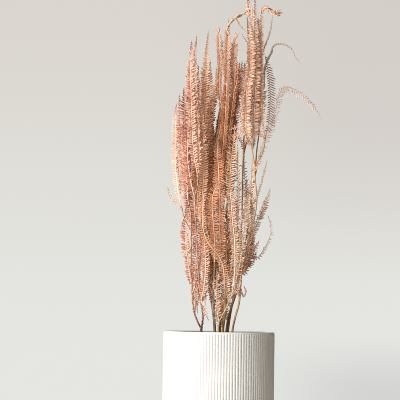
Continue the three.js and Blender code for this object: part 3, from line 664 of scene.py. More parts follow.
def build_dyed_surface():
    """Wires the group up."""
    tree = DYED
    along, across, wood, sprig, tone = (
        put(tree, "Attribute", {"attribute_name": name}).outputs["Fac"]
        for name in ("along", "across", "wood", "sprig", "tone")
    )
    surface = use_group(tree, MOTTLE, {
        "Colour": (0, 0, 0, 1), "Patch Colour": (1, 1, 1, 1), "Patch Scale": 42, "Grain Scale": 1300,
    })
    dye = calculate(tree, "ADD", times(tree, tone, 0.62), times(tree, surface["Patch"], 0.42))
    blade = tint(tree, remap(tree, dye, 0.1, 0.95), dyed_in["Leaf"], dyed_in["Deep"])
    blade = tint(tree, remap(tree, dye, 0, -0.6), blade, dyed_in["Pale"])
    off_middle = calculate(tree, "ABSOLUTE", across)
    margin = times(tree, remap(tree, off_middle, 0.55, 1), 0.35)
    blade = tint(tree, margin, blade, dyed_in["Pale"])
    vein = times(tree, remap(tree, off_middle, 0.16, 0.03), 0.35)
    blade = tint(tree, vein, blade, dyed_in["Pale"])
    fleck = times(tree, remap(tree, surface["Grain"], 0.55, 0.7), 0.4)
    blade = tint(tree, fleck, blade, dyed_in["Deep"])
    # Leaflets darken towards their roots: painted shade where they meet the midrib.
    root_shade = times(tree, remap(tree, along, 0.4, 0), 0.45)
    blade = tint(tree, root_shade, blade, dyed_in["Deep"])
    # They pale towards their tips: a painted highlight.
    tip_highlight = times(tree, remap(tree, along, 0.5, 1), 0.35)
    blade = tint(tree, tip_highlight, blade, dyed_in["Pale"])
    withered = times(tree, sprig, 0.8)
    blade = tint(tree, withered, blade, dyed_in["Tip"])
    lengthwise = put(tree, "CombineXYZ", {}, {
        0: times(tree, across, 5.0), 1: times(tree, along, 9.0), 2: times(tree, tone, 30.0),
    }).outputs[0]
    fibre = speckle(tree, lengthwise, 1.6, 3)
    bark = tint(tree, remap(tree, fibre, 0.42, 0.62), dyed_in["Stalk"], dyed_in["Bark"])
    # The stems are old, dark wood at the rim, 0.2 metres up, and young within the next few centimetres.
    old_wood = times(tree, remap(tree, place_on(tree)[2], 0.232, 0.206), 0.75)
    bark = tint(tree, old_wood, bark, dyed_in["Bark"])
    midrib = tint(tree, withered, tint(tree, fibre, dyed_in["Pale"], dyed_in["Stalk"]), dyed_in["Tip"])
    colour = tint(tree, remap(tree, wood, 0.1, 0.4), blade, midrib)
    colour = tint(tree, remap(tree, wood, 0.6, 0.9), colour, bark)
    tree.links.new(colour, dyed_out["Colour"])
    slanted = calculate(tree, "ADD", along, times(tree, off_middle, -0.12))
    side_veins = calculate(tree, "SINE", times(tree, slanted, 55.0))
    blade_height = calculate(tree, "ADD", times(tree, side_veins, 0.25), surface["Grain"])
    height = put(tree, "Mix", {}, {0: wood, 2: blade_height, 3: fibre}).outputs[0]
    tree.links.new(height, dyed_out["Height"])
    tree.links.new(remap(tree, surface["Patch"], 0, 1, 0.48, 0.66), dyed_out["Roughness"])


build_dyed_surface()
roll_draws = seeded(41)
leaf_draws = seeded(7)
tone_draws = seeded(23)


def set_frond(name, plan, dye, slot, replaced):
    """One frond in its own dye, from its stalk in the foam to its last leaflets."""
    growth = new_growth()
    grow(growth, plan)
    material, tree, shader = new_material(name + " dye")
    surface = use_group(tree, DYED, {part: linear(colour) for part, colour in dye.items()})
    finish_surface(tree, shader, surface["Colour"], surface["Roughness"], surface["Height"], 0.00012)
    shader.inputs["Specular IOR Level"].default_value = 0.2
    piece = new_piece(name, growth["corners"], growth["faces"], material, slot, replaced)
    for value in ("along", "across", "wood", "sprig", "tone"):
        attribute = piece.data.attributes.new(value, "FLOAT", "POINT")
        attribute.data.foreach_set("value", np.array(growth[value], np.float32))


# The left front frond: the one nearest to the window, dyed dusty pink. One branch rises at the far left, with a
# short curled sprig, and the other climbs in front of the rest.
set_frond(
    "left_front_fern",
    dye={"Leaf": "#f7c8b2", "Deep": "#d48a6e", "Pale": "#fde6d6",
         "Tip": "#8c5c58", "Stalk": "#dfb496", "Bark": "#5c2a20"},
    slot="fern_pink",
    replaced="frond_left_front",
    plan=stem(1.5, [(-15, -5, -100), (-15, -5, -65), (-24, -8, 1), (-24, -8, 5)],
        arm([(-30, -10, 15), (-35, -13, 31), (-37, -16, 55)],
            spray([(-33, -11, 74), (-32, -7, 98), (-32, -6, 123), (-34, -6, 150), (-38, -8, 187)], 8, fold=25),
            spray([(-40, -12, 74), (-43, -12, 93), (-46, -13, 114), (-47, -14, 136), (-46, -15, 168)], 7.5, fold=25),
            sprig([(-36, -15, 58), (-32, -13, 66), (-28, -12, 58), (-28, -12, 46), (-30, -12, 36)], 4.5,
                tip_from=0.5),
            sprig([(-36, -14, 40), (-32, -9, 50), (-30, -5, 63), (-30, -3, 80)], 5, tone=0.4),
            sprig([(-37, -15, 47), (-34, -11, 43), (-32, -9, 34), (-33, -9, 25)], 3.8, tip_from=0.5),
            sprig([(-37, -16, 52), (-34, -19, 56), (-31, -20, 50), (-31, -20, 38), (-33, -19, 28)], 4, tip_from=0.5),
            sprig([(-38, -16, 61), (-33, -14, 71), (-28, -12, 67), (-25, -11, 55), (-25, -11, 40)], 5, tone=0.7),
            sprig([(-37, -15, 47), (-32, -13, 58), (-29, -12, 61), (-28, -11, 47)], 4.5, tone=0.8),
            arm([(-39, -19, 82), (-39, -22, 112), (-39, -24, 135)],
                arm([(-48, -22, 149), (-53, -18, 166)],
                    spray([(-58, -20, 171), (-67, -21, 180), (-71, -22, 191)], 3),
                    spray([(-57, -14, 190), (-61, -12, 224), (-62, -12, 260), (-62, -13, 284), (-61, -14, 303)],
                        6.5, fold=25, rib=1.9, tone=0)),
                arm([(-40, -26, 156), (-44, -26, 177)],
                    spray([(-49, -21, 206), (-53, -19, 244), (-55, -18, 278), (-57, -17, 315)], 8, fold=40),
                    spray([(-46, -29, 214), (-48, -27, 257), (-50, -25, 291), (-51, -24, 325)], 8, fold=45,
                        wither=(0.35, 0.95), tone=0.9))),
            leafy=3.4),
        arm([(-22, -12, 18), (-25, -16, 42)],
            spray([(-21, -18, 32), (-18, -19, 23), (-15, -19, 16)], 3.5, fold=35),
            spray([(-21, -20, 58), (-19, -22, 82), (-20, -23, 107), (-23, -22, 136)], 8, long=0.72, open=15,
                slim=0.7, gap=0.85, roll=0, rib=1.4),
            arm([(-28, -20, 69), (-30, -24, 93), (-32, -29, 129), (-35, -33, 182)],
                spray([(-40, -36, 200), (-44, -36, 224), (-45, -35, 258), (-45, -33, 287), (-45, -31, 321)], 7.5,
                    fold=40, wither=(0.35, 0.95), tone=0.8),
                arm([(-31, -36, 196), (-31, -38, 210)],
                    spray([(-36, -42, 231), (-39, -43, 264), (-41, -41, 305), (-43, -37, 345), (-42, -33, 386)], 8),
                    spray([(-29, -41, 233), (-31, -41, 271), (-35, -39, 312), (-37, -36, 352), (-35, -33, 393)], 8,
                        fold=40)),
                sprig([(-29, -21, 75), (-25, -18, 93), (-24, -18, 116), (-27, -20, 139)], 6)),
            sprig([(-24, -16, 39), (-21, -14, 53), (-18, -14, 47), (-19, -14, 35)], 4, tip_from=0.5),
            sprig([(-24, -16, 38), (-27, -12, 44), (-29, -10, 38), (-29, -10, 26)], 3.8, tip_from=0.5),
            sprig([(-24, -16, 42), (-28, -11, 55), (-29, -5, 70), (-29, -1, 88)], 5.5, tone=0.7),
            sprig([(-24, -16, 38), (-21, -10, 49), (-21, -3, 62), (-22, 1, 80)], 5.5, tone=0.7),
            leafy=3.6)),
)


# The left middle frond: the thickest stalk, grey-brown at the rim, which forks four ways above the vase into the
# long strands of the left side.
set_frond(
    "left_middle_fern",
    dye={"Leaf": "#fcc59c", "Deep": "#e08c5c", "Pale": "#fde6d0",
         "Tip": "#8f6c60", "Stalk": "#cbb096", "Bark": "#6b5448"},
    slot="fern_pink",
    replaced="frond_left_middle",
    plan=stem(1.8, [(-4, -1, -100), (-4, -1, -65), (-6, -3, 2), (-8, -4, 31), (-9, -5, 55)],
        arm([(-16, -7, 66), (-22, -9, 80), (-25, -10, 101), (-26, -10, 125), (-27, -10, 147)],
            spray([(-31, -12, 177), (-33, -14, 217), (-33, -15, 251), (-32, -16, 285), (-32, -16, 318)], 8),
            spray([(-25, -14, 177), (-23, -19, 217), (-24, -24, 258), (-24, -26, 298), (-23, -25, 339),
                (-20, -22, 400)], 8, fold=45, open=20, loose=0.6, tone=-0.25)),
        arm([(-13, -3, 69), (-17, 0, 89), (-18, 1, 116), (-19, 1, 143)],
            spray([(-19, -2, 177), (-18, -5, 217), (-18, -8, 258), (-17, -9, 298), (-17, -9, 332), (-17, -9, 363)],
                7.5, fold=50, open=15, tone=0.25),
            spray([(-24, 5, 170), (-26, 7, 211), (-28, 7, 251), (-28, 6, 285), (-28, 6, 314)], 8, fold=25),
            sprig([(-19, 1, 139), (-20, 7, 170), (-21, 10, 204), (-21, 11, 244), (-21, 9, 282)], 7, tone=0.2,
                slim=1.1),
            sprig([(-19, 1, 140), (-14, 0, 170), (-12, -2, 204), (-12, -4, 242), (-12, -6, 280)], 6.5, tone=0.6,
                slim=1.1),
            sprig([(-18, 0, 93), (-22, 4, 109), (-23, 6, 128), (-22, 7, 147)], 6, tone=0.4),
            sprig([(-18, 1, 109), (-14, 5, 123), (-14, 7, 142), (-15, 8, 161)], 6, tone=0.9)),
        arm([(-8, -10, 69), (-7, -16, 93)],
            spray([(-7, -24, 116), (-9, -32, 141), (-11, -36, 162), (-11, -37, 178), (-8, -37, 189), (-3, -36, 195),
                (4, -34, 196)], 8, fold=15, open=8, rib=1.5, roll=0, slim=0.6, gap=0.72, loose=0.5, tone=1.1)),
        arm([(-2, -7, 68), (0, -14, 89)],
            spray([(0, -23, 116), (-1, -28, 143), (-1, -30, 170), (-2, -30, 191), (-4, -30, 224), (-6, -30, 258)],
                8.5, fold=15, open=8, rib=1.5, roll=0, slim=0.6, gap=0.72, loose=0.5, tone=1))),
)


# The left back frond: leans out behind the other two and shows between them, in a darker dusty pink.
set_frond(
    "left_back_fern",
    dye={"Leaf": "#f2bba2", "Deep": "#d2805e", "Pale": "#fadaca",
         "Tip": "#8a6660", "Stalk": "#c4967a", "Bark": "#6e4234"},
    slot="fern_pink",
    replaced="frond_left_back",
    plan=stem(1.4, [(-4, 10, -100), (-4, 10, -65), (-6, 12, 2), (-10, 16, 35), (-16, 20, 69), (-22, 23, 99)],
        sprig([(-16, 20, 69), (-15, 18, 85), (-12, 19, 103), (-10, 20, 123)], 6, tone=0.55),
        sprig([(-11, 16, 37), (-14, 13, 53), (-15, 12, 69), (-15, 12, 85)], 3.5, tone=0.4, tip_from=0.6),
        sprig([(-13, 18, 52), (-12, 16, 66), (-10, 15, 85), (-9, 16, 110)], 5.5, tone=0.8, slim=1.15),
        sprig([(-16, 20, 69), (-11, 23, 85), (-8, 24, 104), (-8, 24, 126)], 6.5, tone=0.8, slim=1.15),
        arm([(-31, 22, 119)],
            spray([(-38, 22, 147), (-45, 20, 177), (-50, 17, 210), (-54, 14, 244), (-55, 13, 271), (-57, 12, 295)],
                8, fold=25),
            spray([(-35, 28, 150), (-40, 31, 190), (-43, 31, 231), (-45, 29, 271), (-46, 25, 318), (-45, 22, 363)],
                8.5)),
        arm([(-24, 25, 126), (-27, 27, 147)],
            spray([(-31, 33, 177), (-34, 36, 217), (-35, 36, 258), (-36, 34, 298), (-36, 30, 339), (-38, 27, 379)],
                8),
            arm([(-24, 29, 170)],
                spray([(-25, 34, 204), (-26, 37, 244), (-25, 36, 285), (-23, 33, 328), (-22, 29, 373)], 8.5,
                    fold=25, tone=-0.05),
                spray([(-18, 27, 201), (-17, 28, 244), (-17, 28, 285), (-17, 27, 319)], 7, fold=50, tone=0.45)))),
)


# The centre front frond: the shortest, a pale green-beige stalk whose two combs hang in front of the middle.
set_frond(
    "centre_front_fern",
    dye={"Leaf": "#efc4ac", "Deep": "#c98c70", "Pale": "#fff0e0",
         "Tip": "#a07c6c", "Stalk": "#e4d2ac", "Bark": "#a8926c"},
    slot="fern_peach",
    replaced="frond_centre_front",
    plan=stem(1.2, [(0, -9, -100), (0, -9, -65), (-1, -13, 2), (0, -14, 14)],
        sprig([(-1, -13, 4), (-3, -11, 18), (-3, -11, 31), (0, -11, 45)], 4, tone=0.2),
        spray([(-3, -16, 29), (-4, -18, 45), (-4, -21, 62), (-4, -24, 83)], 6, weak=0.4, long=0.9),
        arm([(5, -18, 23), (12, -21, 38), (17, -23, 52), (18, -24, 61)],
            spray([(20, -29, 83), (20, -33, 103), (19, -37, 123), (16, -39, 148), (14, -40, 171), (11, -39, 202)],
                8, long=0.78, fold=20, open=14, slim=0.62, gap=0.75, loose=0.8, roll=0, rib=1.4, tone=0.3),
            spray([(24, -28, 80), (28, -31, 102), (30, -35, 124), (31, -38, 148), (31, -39, 171), (30, -39, 196)],
                8, long=0.72, open=20, tone=0, slim=0.6, gap=0.85, loose=1.1, rib=1.1),
            sprig([(13, -21, 40), (10, -23, 50), (10, -24, 64), (12, -25, 77)], 5, tip_from=0.6),
            sprig([(16, -22, 48), (23, -22, 59), (25, -23, 72), (26, -24, 88)], 4.5, tip_from=0.6),
            leafy=3.6)),
)


# The centre middle frond: a straw-yellow stalk under the tall rust-brown strands of the middle, whose leaflets lie
# close along the midrib and stay long up to a blunt top.
BLUNT_TOP = {
    "tip_from": 0.95, "taper": 0.6, "lean": 34, "loose": 0.35, "gap": 0.62, "slim": 0.7, "roll": 0, "rib": 0.8,
    "wither": (0.62, 0.95),
}
set_frond(
    "centre_middle_fern",
    dye={"Leaf": "#d99a70", "Deep": "#aa5c32", "Pale": "#f2d0b6",
         "Tip": "#eac2ac", "Stalk": "#dcb78c", "Bark": "#946c38"},
    slot="fern_brown",
    replaced="frond_centre_middle",
    plan=stem(1.7, [(6, -2, -100), (6, -2, -65), (5, -4, 2), (8, -8, 29), (7, -12, 56)],
        spray([(6, -21, 76), (4, -26, 89), (-2, -32, 102), (-10, -38, 111), (-18, -41, 122), (-23, -43, 139),
            (-24, -44, 158), (-23, -43, 181)], 7, fold=25, open=15, rib=1.5, roll=0, slim=0.7, loose=0.6, tone=-0.3),
        sprig([(7, -10, 42), (3, -11, 56), (3, -12, 69), (3, -13, 85)], 5, tip_from=0.6),
        sprig([(6, -5, 10), (3, -2, 22), (2, -1, 35), (2, -1, 49)], 4.5, tone=-0.1),
        sprig([(5, -4, 4), (2, -6, 15), (0, -7, 26), (-1, -8, 39)], 4, tone=-0.2),
        sprig([(8, -9, 34), (11, -7, 44), (12, -7, 54), (13, -8, 68)], 4.5, tone=0),
        sprig([(7, -12, 50), (11, -9, 61), (12, -8, 76), (11, -8, 91)], 5, tone=0.6),
        arm([(11, -16, 71), (16, -20, 88), (17, -23, 104), (19, -26, 118), (22, -28, 140)],
            sprig([(17, -24, 110), (13, -22, 123), (10, -20, 144), (9, -20, 166)], 6.5, tone=0.8),
            spray([(17, -29, 161), (13, -29, 184), (12, -30, 211), (14, -32, 238), (17, -32, 268)], 8, fold=20,
                tone=-0.9, slim=0.8),
            spray([(24, -31, 171), (24, -32, 204), (23, -32, 231), (21, -31, 257)], 7.5, long=0.7, fold=35, tone=-1,
                slim=0.6, gap=1.3, loose=1.5, alone=True)),
        arm([(8, -10, 83), (9, -8, 110), (6, -8, 137), (3, -9, 156)],
            sprig([(9, -9, 94), (3, -5, 107), (2, -4, 126), (1, -4, 147)], 6.5),
            sprig([(9, -8, 112), (14, -7, 126), (16, -7, 144), (17, -8, 167)], 6.5),
            sprig([(-4, -22, 377), (-9, -21, 386), (-11, -20, 390), (-13, -20, 394)], 1.4, tip_from=0.2),
            sprig([(-6, -22, 399), (-9, -22, 404), (-12, -22, 409)], 1.2, tip_from=0.2),
            arm([(-2, -10, 173), (-5, -12, 191)],
                spray([(-7, -14, 215), (-6, -16, 247), (-2, -18, 274), (0, -19, 296), (-3, -20, 319),
                    (-4, -20, 339), (-3, -21, 363), (-5, -22, 385), (-6, -22, 408)], 7.5, fold=45, open=15,
                    long=0.6, end=1.1, furl=(0.965, 3, 0), tone=0.65, **BLUNT_TOP),
                spray([(0, -15, 224), (3, -19, 261), (5, -24, 301), (6, -26, 337), (6, -27, 369), (7, -28, 404)],
                    7.5, fold=50, open=12, long=0.78, end=1.2, furl=(0.965, 4, 0), tone=0.85, **BLUNT_TOP)),
            arm([(8, -9, 171), (9, -10, 191)],
                sprig([(16, -21, 323), (19, -24, 334), (20, -25, 350), (18, -25, 366)], 3.8, tone=1.25),
                spray([(6, -13, 225), (9, -16, 261), (13, -19, 296), (16, -21, 329), (15, -23, 360), (16, -24, 380),
                    (18, -25, 400)], 7, fold=45, open=12, long=0.74, end=1.15, furl=(0.965, 4, 0), tone=0.85,
                    **BLUNT_TOP),
                spray([(12, -8, 225), (13, -8, 265), (16, -9, 299), (20, -11, 329), (23, -12, 361)], 8, fold=40,
                    tone=1.05, gap=0.75, slim=0.8, lean=25)))),
)


# The centre back frond: rust brown, behind the middle. Its last strand thins into a long arch over the top.
set_frond(
    "centre_back_fern",
    dye={"Leaf": "#d4925e", "Deep": "#a25226", "Pale": "#ecc094",
         "Tip": "#ccb39c", "Stalk": "#b89260", "Bark": "#6e4a28"},
    slot="fern_brown",
    replaced="frond_centre_back",
    plan=stem(1.5, [(1, 5, -100), (1, 5, -65), (1, 8, 2), (0, 10, 29), (-1, 12, 56)],
        spray([(-3, 14, 42), (-2, 14, 26), (1, 12, 8)], 5, fold=25),
        sprig([(1, 8, 6), (3, 11, 19), (4, 12, 34), (3, 13, 50)], 4.5, tone=0.3),
        sprig([(0, 10, 25), (-3, 12, 34), (-4, 13, 46), (-3, 13, 58)], 4.5),
        sprig([(-1, 12, 57), (-7, 14, 66), (-11, 15, 82), (-13, 16, 101)], 6, tone=-0.4),
        sprig([(-1, 14, 75), (-4, 16, 88), (-3, 17, 104), (-2, 18, 120)], 6, tone=-0.4),
        spray([(-7, 9, 73), (-11, 9, 91), (-12, 10, 112), (-13, 12, 139), (-14, 13, 170)], 7.5, fold=20, tone=0),
        sprig([(-1, 12, 58), (-5, 13, 72), (-6, 14, 91), (-5, 15, 112)], 6, tone=-0.4),
        sprig([(-1, 13, 69), (4, 16, 85), (5, 18, 107), (4, 19, 131)], 6.5),
        sprig([(-1, 12, 64), (6, 11, 83), (10, 10, 107), (10, 10, 137)], 7, tone=0.6, slim=1.1),
        sprig([(-2, 16, 107), (4, 14, 126), (9, 12, 150), (9, 12, 180)], 7, slim=1.1),
        sprig([(17, -5, 425), (21, -4, 418), (25, -4, 412), (31, -4, 406)], 1.6, tip_from=0.3),
        arm([(-1, 15, 89), (-2, 17, 123)],
            arm([(-8, 18, 153), (-10, 20, 177)],
                sprig([(-10, 20, 174), (-8, 23, 197), (-6, 25, 231), (-6, 25, 265), (-5, 23, 296)], 7.5, tone=0.2,
                    slim=1.15),
                sprig([(-10, 20, 170), (-14, 15, 193), (-17, 12, 224), (-16, 10, 258), (-14, 9, 288)], 7, tone=0,
                    slim=1.15),
                spray([(-14, 19, 211), (-15, 17, 251), (-15, 15, 288), (-12, 13, 315), (-8, 12, 336),
                    (-9, 12, 358)], 6.5, fold=35, tone=0),
                spray([(-8, 28, 211), (-5, 33, 247), (-1, 33, 282), (0, 31, 309)], 8.5, fold=20)),
            arm([(3, 17, 157), (5, 18, 184)],
                sprig([(5, 18, 181), (-1, 16, 204), (-3, 14, 238), (-4, 12, 272), (-3, 10, 305)], 7.5, tone=0.7,
                    slim=1.15),
                sprig([(5, 18, 183), (9, 20, 204), (11, 20, 238), (12, 18, 272), (10, 15, 304)], 7.5, tone=1.0,
                    slim=1.15),
                sprig([(5, 18, 180), (5, 10, 204), (6, 4, 234), (6, 0, 265), (5, -2, 296)], 7, tone=0.8, slim=1.1),
                spray([(1, 22, 218), (3, 24, 256), (6, 24, 288), (6, 21, 315)], 8),
                spray([(10, 15, 215), (12, 13, 252), (15, 11, 288), (16, 9, 319), (13, 6, 347), (8, 3, 377),
                    (5, 0, 396), (5, -2, 408), (10, -4, 419), (20, -5, 427), (34, -6, 434)], 5, fold=50,
                    tip_from=0.72, furl=(0.71, 5.4, 2.0), tone=0.75, wither=(0.66, 0.75))))),
)


# The right front frond: a pink stalk that curves up to the tallest column of strands, dyed a pale peach.
set_frond(
    "right_front_fern",
    dye={"Leaf": "#f5ccb3", "Deep": "#d99d82", "Pale": "#fbdfc8",
         "Tip": "#8c6a58", "Stalk": "#dcb48c", "Bark": "#946040"},
    slot="fern_peach",
    replaced="frond_right_front",
    plan=stem(1.3, [(17, -6, -100), (16, -6, -65), (18, -9, 2), (21, -11, 18), (26, -13, 38), (28, -15, 56)],
        spray([(33, -16, 47), (36, -17, 55), (33, -17, 61)], 2, slim=0.6, tone=1, rib=1.9, wither=(0, 0.1)),
        sprig([(27, -14, 45), (23, -13, 59), (23, -12, 75), (24, -12, 94)], 4.5, tip_from=0.6),
        arm([(29, -16, 72), (30, -17, 88)],
            sprig([(29, -17, 83), (26, -15, 99), (26, -14, 118), (27, -15, 140)], 6),
            sprig([(30, -17, 87), (35, -14, 102), (38, -13, 118), (41, -14, 137)], 5.5),
            spray([(36, -12, 99), (42, -9, 110), (47, -8, 114), (51, -8, 121)], 6),
            arm([(34, -21, 109), (40, -24, 132), (45, -26, 153), (48, -27, 174), (47, -27, 191), (45, -26, 209),
                (45, -26, 225)],
                sprig([(40, -24, 133), (37, -22, 151), (36, -21, 170), (38, -21, 188)], 5, tone=-1.1, tip_from=0.6),
                sprig([(47, -26, 167), (42, -24, 182), (41, -23, 199), (41, -23, 218)], 4.5, tone=-1.1, tip_from=0.6),
                sprig([(45, -26, 210), (42, -25, 221), (41, -25, 232)], 3, tip_from=0.5),
                sprig([(46, -26, 216), (49, -25, 225), (51, -25, 235)], 3, tone=0.3, tip_from=0.5),
                arm([(42, -27, 237), (41, -28, 247)],
                    sprig([(41, -28, 246), (39, -30, 253), (34, -32, 258)], 1.1, tone=1.6, rib=2.4, wither=(0, 0.1),
                        tip_from=0.3),
                    sprig([(41, -28, 246), (42, -30, 253), (43, -30, 260)], 1.1, tone=1.6, rib=2.4, wither=(0, 0.1),
                        tip_from=0.3),
                    sprig([(43, -28, 413), (40, -28, 422), (39, -28, 433)], 3, tone=-0.6, lean=18, gap=0.8,
                        tip_from=0.5),
                    sprig([(41, -29, 251), (34, -30, 260), (25, -31, 271), (17, -31, 273), (11, -30, 269)], 4.6,
                        tone=1.1, tip_from=0.8, lean=0),
                    sprig([(41, -29, 253), (35, -32, 264), (27, -33, 265), (20, -33, 263), (15, -32, 256)], 4.2,
                        tone=0.9, tip_from=0.8, lean=0),
                    sprig([(37, -33, 383), (32, -32, 388), (28, -32, 394), (25, -31, 399)], 1.6, tip_from=0.3,
                        wither=(0, 0.3)),
                    sprig([(42, -27, 429), (38, -24, 432), (34, -20, 434), (30, -16, 432)], 2.8, tone=-0.2),
                    sprig([(43, -27, 419), (38, -26, 425), (35, -25, 429)], 2.6, tone=-0.2, tip_from=0.5),
                    sprig([(36, -33, 394), (34, -32, 404), (32, -31, 419)], 2, tip_from=0.3, wither=(0.2, 0.6)),
                    spray([(36, -31, 257), (32, -34, 275), (32, -35, 299), (33, -35, 326), (37, -34, 353),
                        (37, -33, 383), (32, -32, 421)], 8, open=18, loose=0.6, roll=-5, tone=0.3, gap=0.62,
                        slim=0.72, lean=-16),
                    spray([(43, -28, 261), (43, -30, 286), (44, -31, 313), (45, -31, 347), (44, -30, 380),
                        (43, -28, 410), (42, -27, 432), (42, -26, 449)], 7.5, fold=40, open=18, loose=0.6, roll=5,
                        tone=0.35, taper=0.6, gap=0.62, slim=0.72, lean=-16)),
                arm([(53, -24, 236), (57, -22, 250), (58, -21, 262)],
                    sprig([(52, -22, 430), (54, -22, 436), (57, -21, 439), (60, -21, 437)], 2.2, tone=1.6, lean=30,
                        gap=0.7, tip_from=0.5),
                    sprig([(58, -22, 436), (64, -21, 435), (70, -20, 434), (76, -19, 434)], 3.4, tone=-0.2, lean=38,
                        gap=0.7, tip_from=0.8),
                    sprig([(61, -22, 434), (66, -23, 430), (72, -23, 427), (76, -23, 426)], 3, tone=0.2, lean=38,
                        gap=0.7, tip_from=0.8),
                    sprig([(58, -21, 259), (51, -24, 267), (43, -26, 270), (35, -27, 268)], 4.4, tone=1,
                        tip_from=0.8, lean=0),
                    spray([(54, -24, 286), (52, -25, 320), (51, -24, 353), (51, -23, 387), (51, -22, 414),
                        (52, -22, 432), (57, -22, 437), (65, -22, 431), (75, -21, 429)], 6, long=0.75, fold=40,
                        tip_from=0.75, furl=(0.83, 6, 1.6), gap=0.68, tone=0.3, slim=0.75, loose=0.6, roll=0,
                        open=22, lean=-14),
                    spray([(62, -18, 279), (64, -17, 302), (64, -16, 324), (62, -15, 347), (57, -15, 371)], 9.5,
                        long=1.1, fold=10, lean=-24, slim=0.66, gap=1.05, loose=0.1, tone=0.7, roll=0, alone=True,
                        weak=0.5, wither=(-1, 0.6)))))),
)


# The right middle frond: a dark stalk that runs straight up behind the right column, with light brown strands.
set_frond(
    "right_middle_fern",
    dye={"Leaf": "#f4c6a6", "Deep": "#bb7452", "Pale": "#fbe2cc",
         "Tip": "#8a6a54", "Stalk": "#bc966c", "Bark": "#785438"},
    slot="fern_brown",
    replaced="frond_right_middle",
    plan=stem(1.5, [(11, 2, -100), (11, 2, -65), (10, 3, 2), (15, 4, 29), (22, 4, 52), (26, 3, 76)],
        spray([(33, 4, 86), (38, 5, 102), (41, 5, 124), (41, 5, 145), (41, 5, 170), (39, 4, 197)], 8, fold=25,
            tone=-1.2, loose=0.6, open=15),
        spray([(31, -5, 82), (36, -7, 90), (42, -6, 98), (48, -5, 106)], 7.5, fold=20, tone=1.1),
        sprig([(26, 3, 74), (31, 9, 87), (37, 11, 101), (42, 11, 114), (46, 10, 124)], 6, tone=1.5),
        sprig([(27, 2, 80), (33, -1, 94), (38, -3, 110), (40, -4, 126), (41, -4, 143)], 6, tone=1.3),
        arm([(28, 1, 103), (28, 0, 140), (29, -1, 178), (29, -1, 211), (30, -1, 242)],
            sprig([(28, 1, 110), (23, 4, 126), (21, 5, 148), (21, 5, 171)], 6, tone=0.2),
            sprig([(28, 0, 148), (33, 3, 164), (35, 4, 183), (34, 4, 205)], 5.5, tone=-0.6),
            sprig([(30, 0, 245), (26, -5, 257), (21, -8, 265), (15, -10, 271)], 4.2, tone=1.1, tip_from=0.8, lean=0),
            sprig([(30, 0, 249), (35, -6, 261), (42, -10, 267), (50, -13, 266)], 4.2, tone=1, tip_from=0.8, lean=0),
            arm([(30, 0, 259), (31, -4, 283), (32, -6, 302)],
                sprig([(30, -2, 275), (26, -6, 286), (24, -8, 299), (22, -9, 314)], 3.6, tone=-0.8),
                sprig([(32, -6, 299), (27, -8, 313), (24, -10, 329), (24, -11, 348), (26, -11, 363)], 5.5, tone=-0.5),
                spray([(29, -6, 321), (28, -6, 340), (30, -7, 361)], 7, fold=35),
                sprig([(34, -11, 430), (33, -10, 437), (32, -10, 443)], 2.2, tone=-0.7, lean=30, gap=0.8,
                    tip_from=0.5),
                spray([(37, -13, 324), (39, -15, 351), (39, -14, 380), (36, -12, 414), (32, -10, 446)], 7, long=0.7,
                    fold=45, furl=(0.85, 5.6, 0.9), tone=0.1, gap=0.8, slim=0.85, lean=-12, wither=(0.97, 1))),
            arm([(35, 4, 260), (42, 8, 275)],
                spray([(47, 6, 297), (48, 3, 324), (48, 1, 356), (48, 0, 387), (47, 0, 424)], 7.5, fold=40, open=20,
                    loose=0.7, tone=0.5, gap=0.75, slim=0.8, lean=-12),
                spray([(38, 14, 299), (35, 17, 326), (34, 17, 350), (35, 16, 373)], 8, fold=25)))),
)


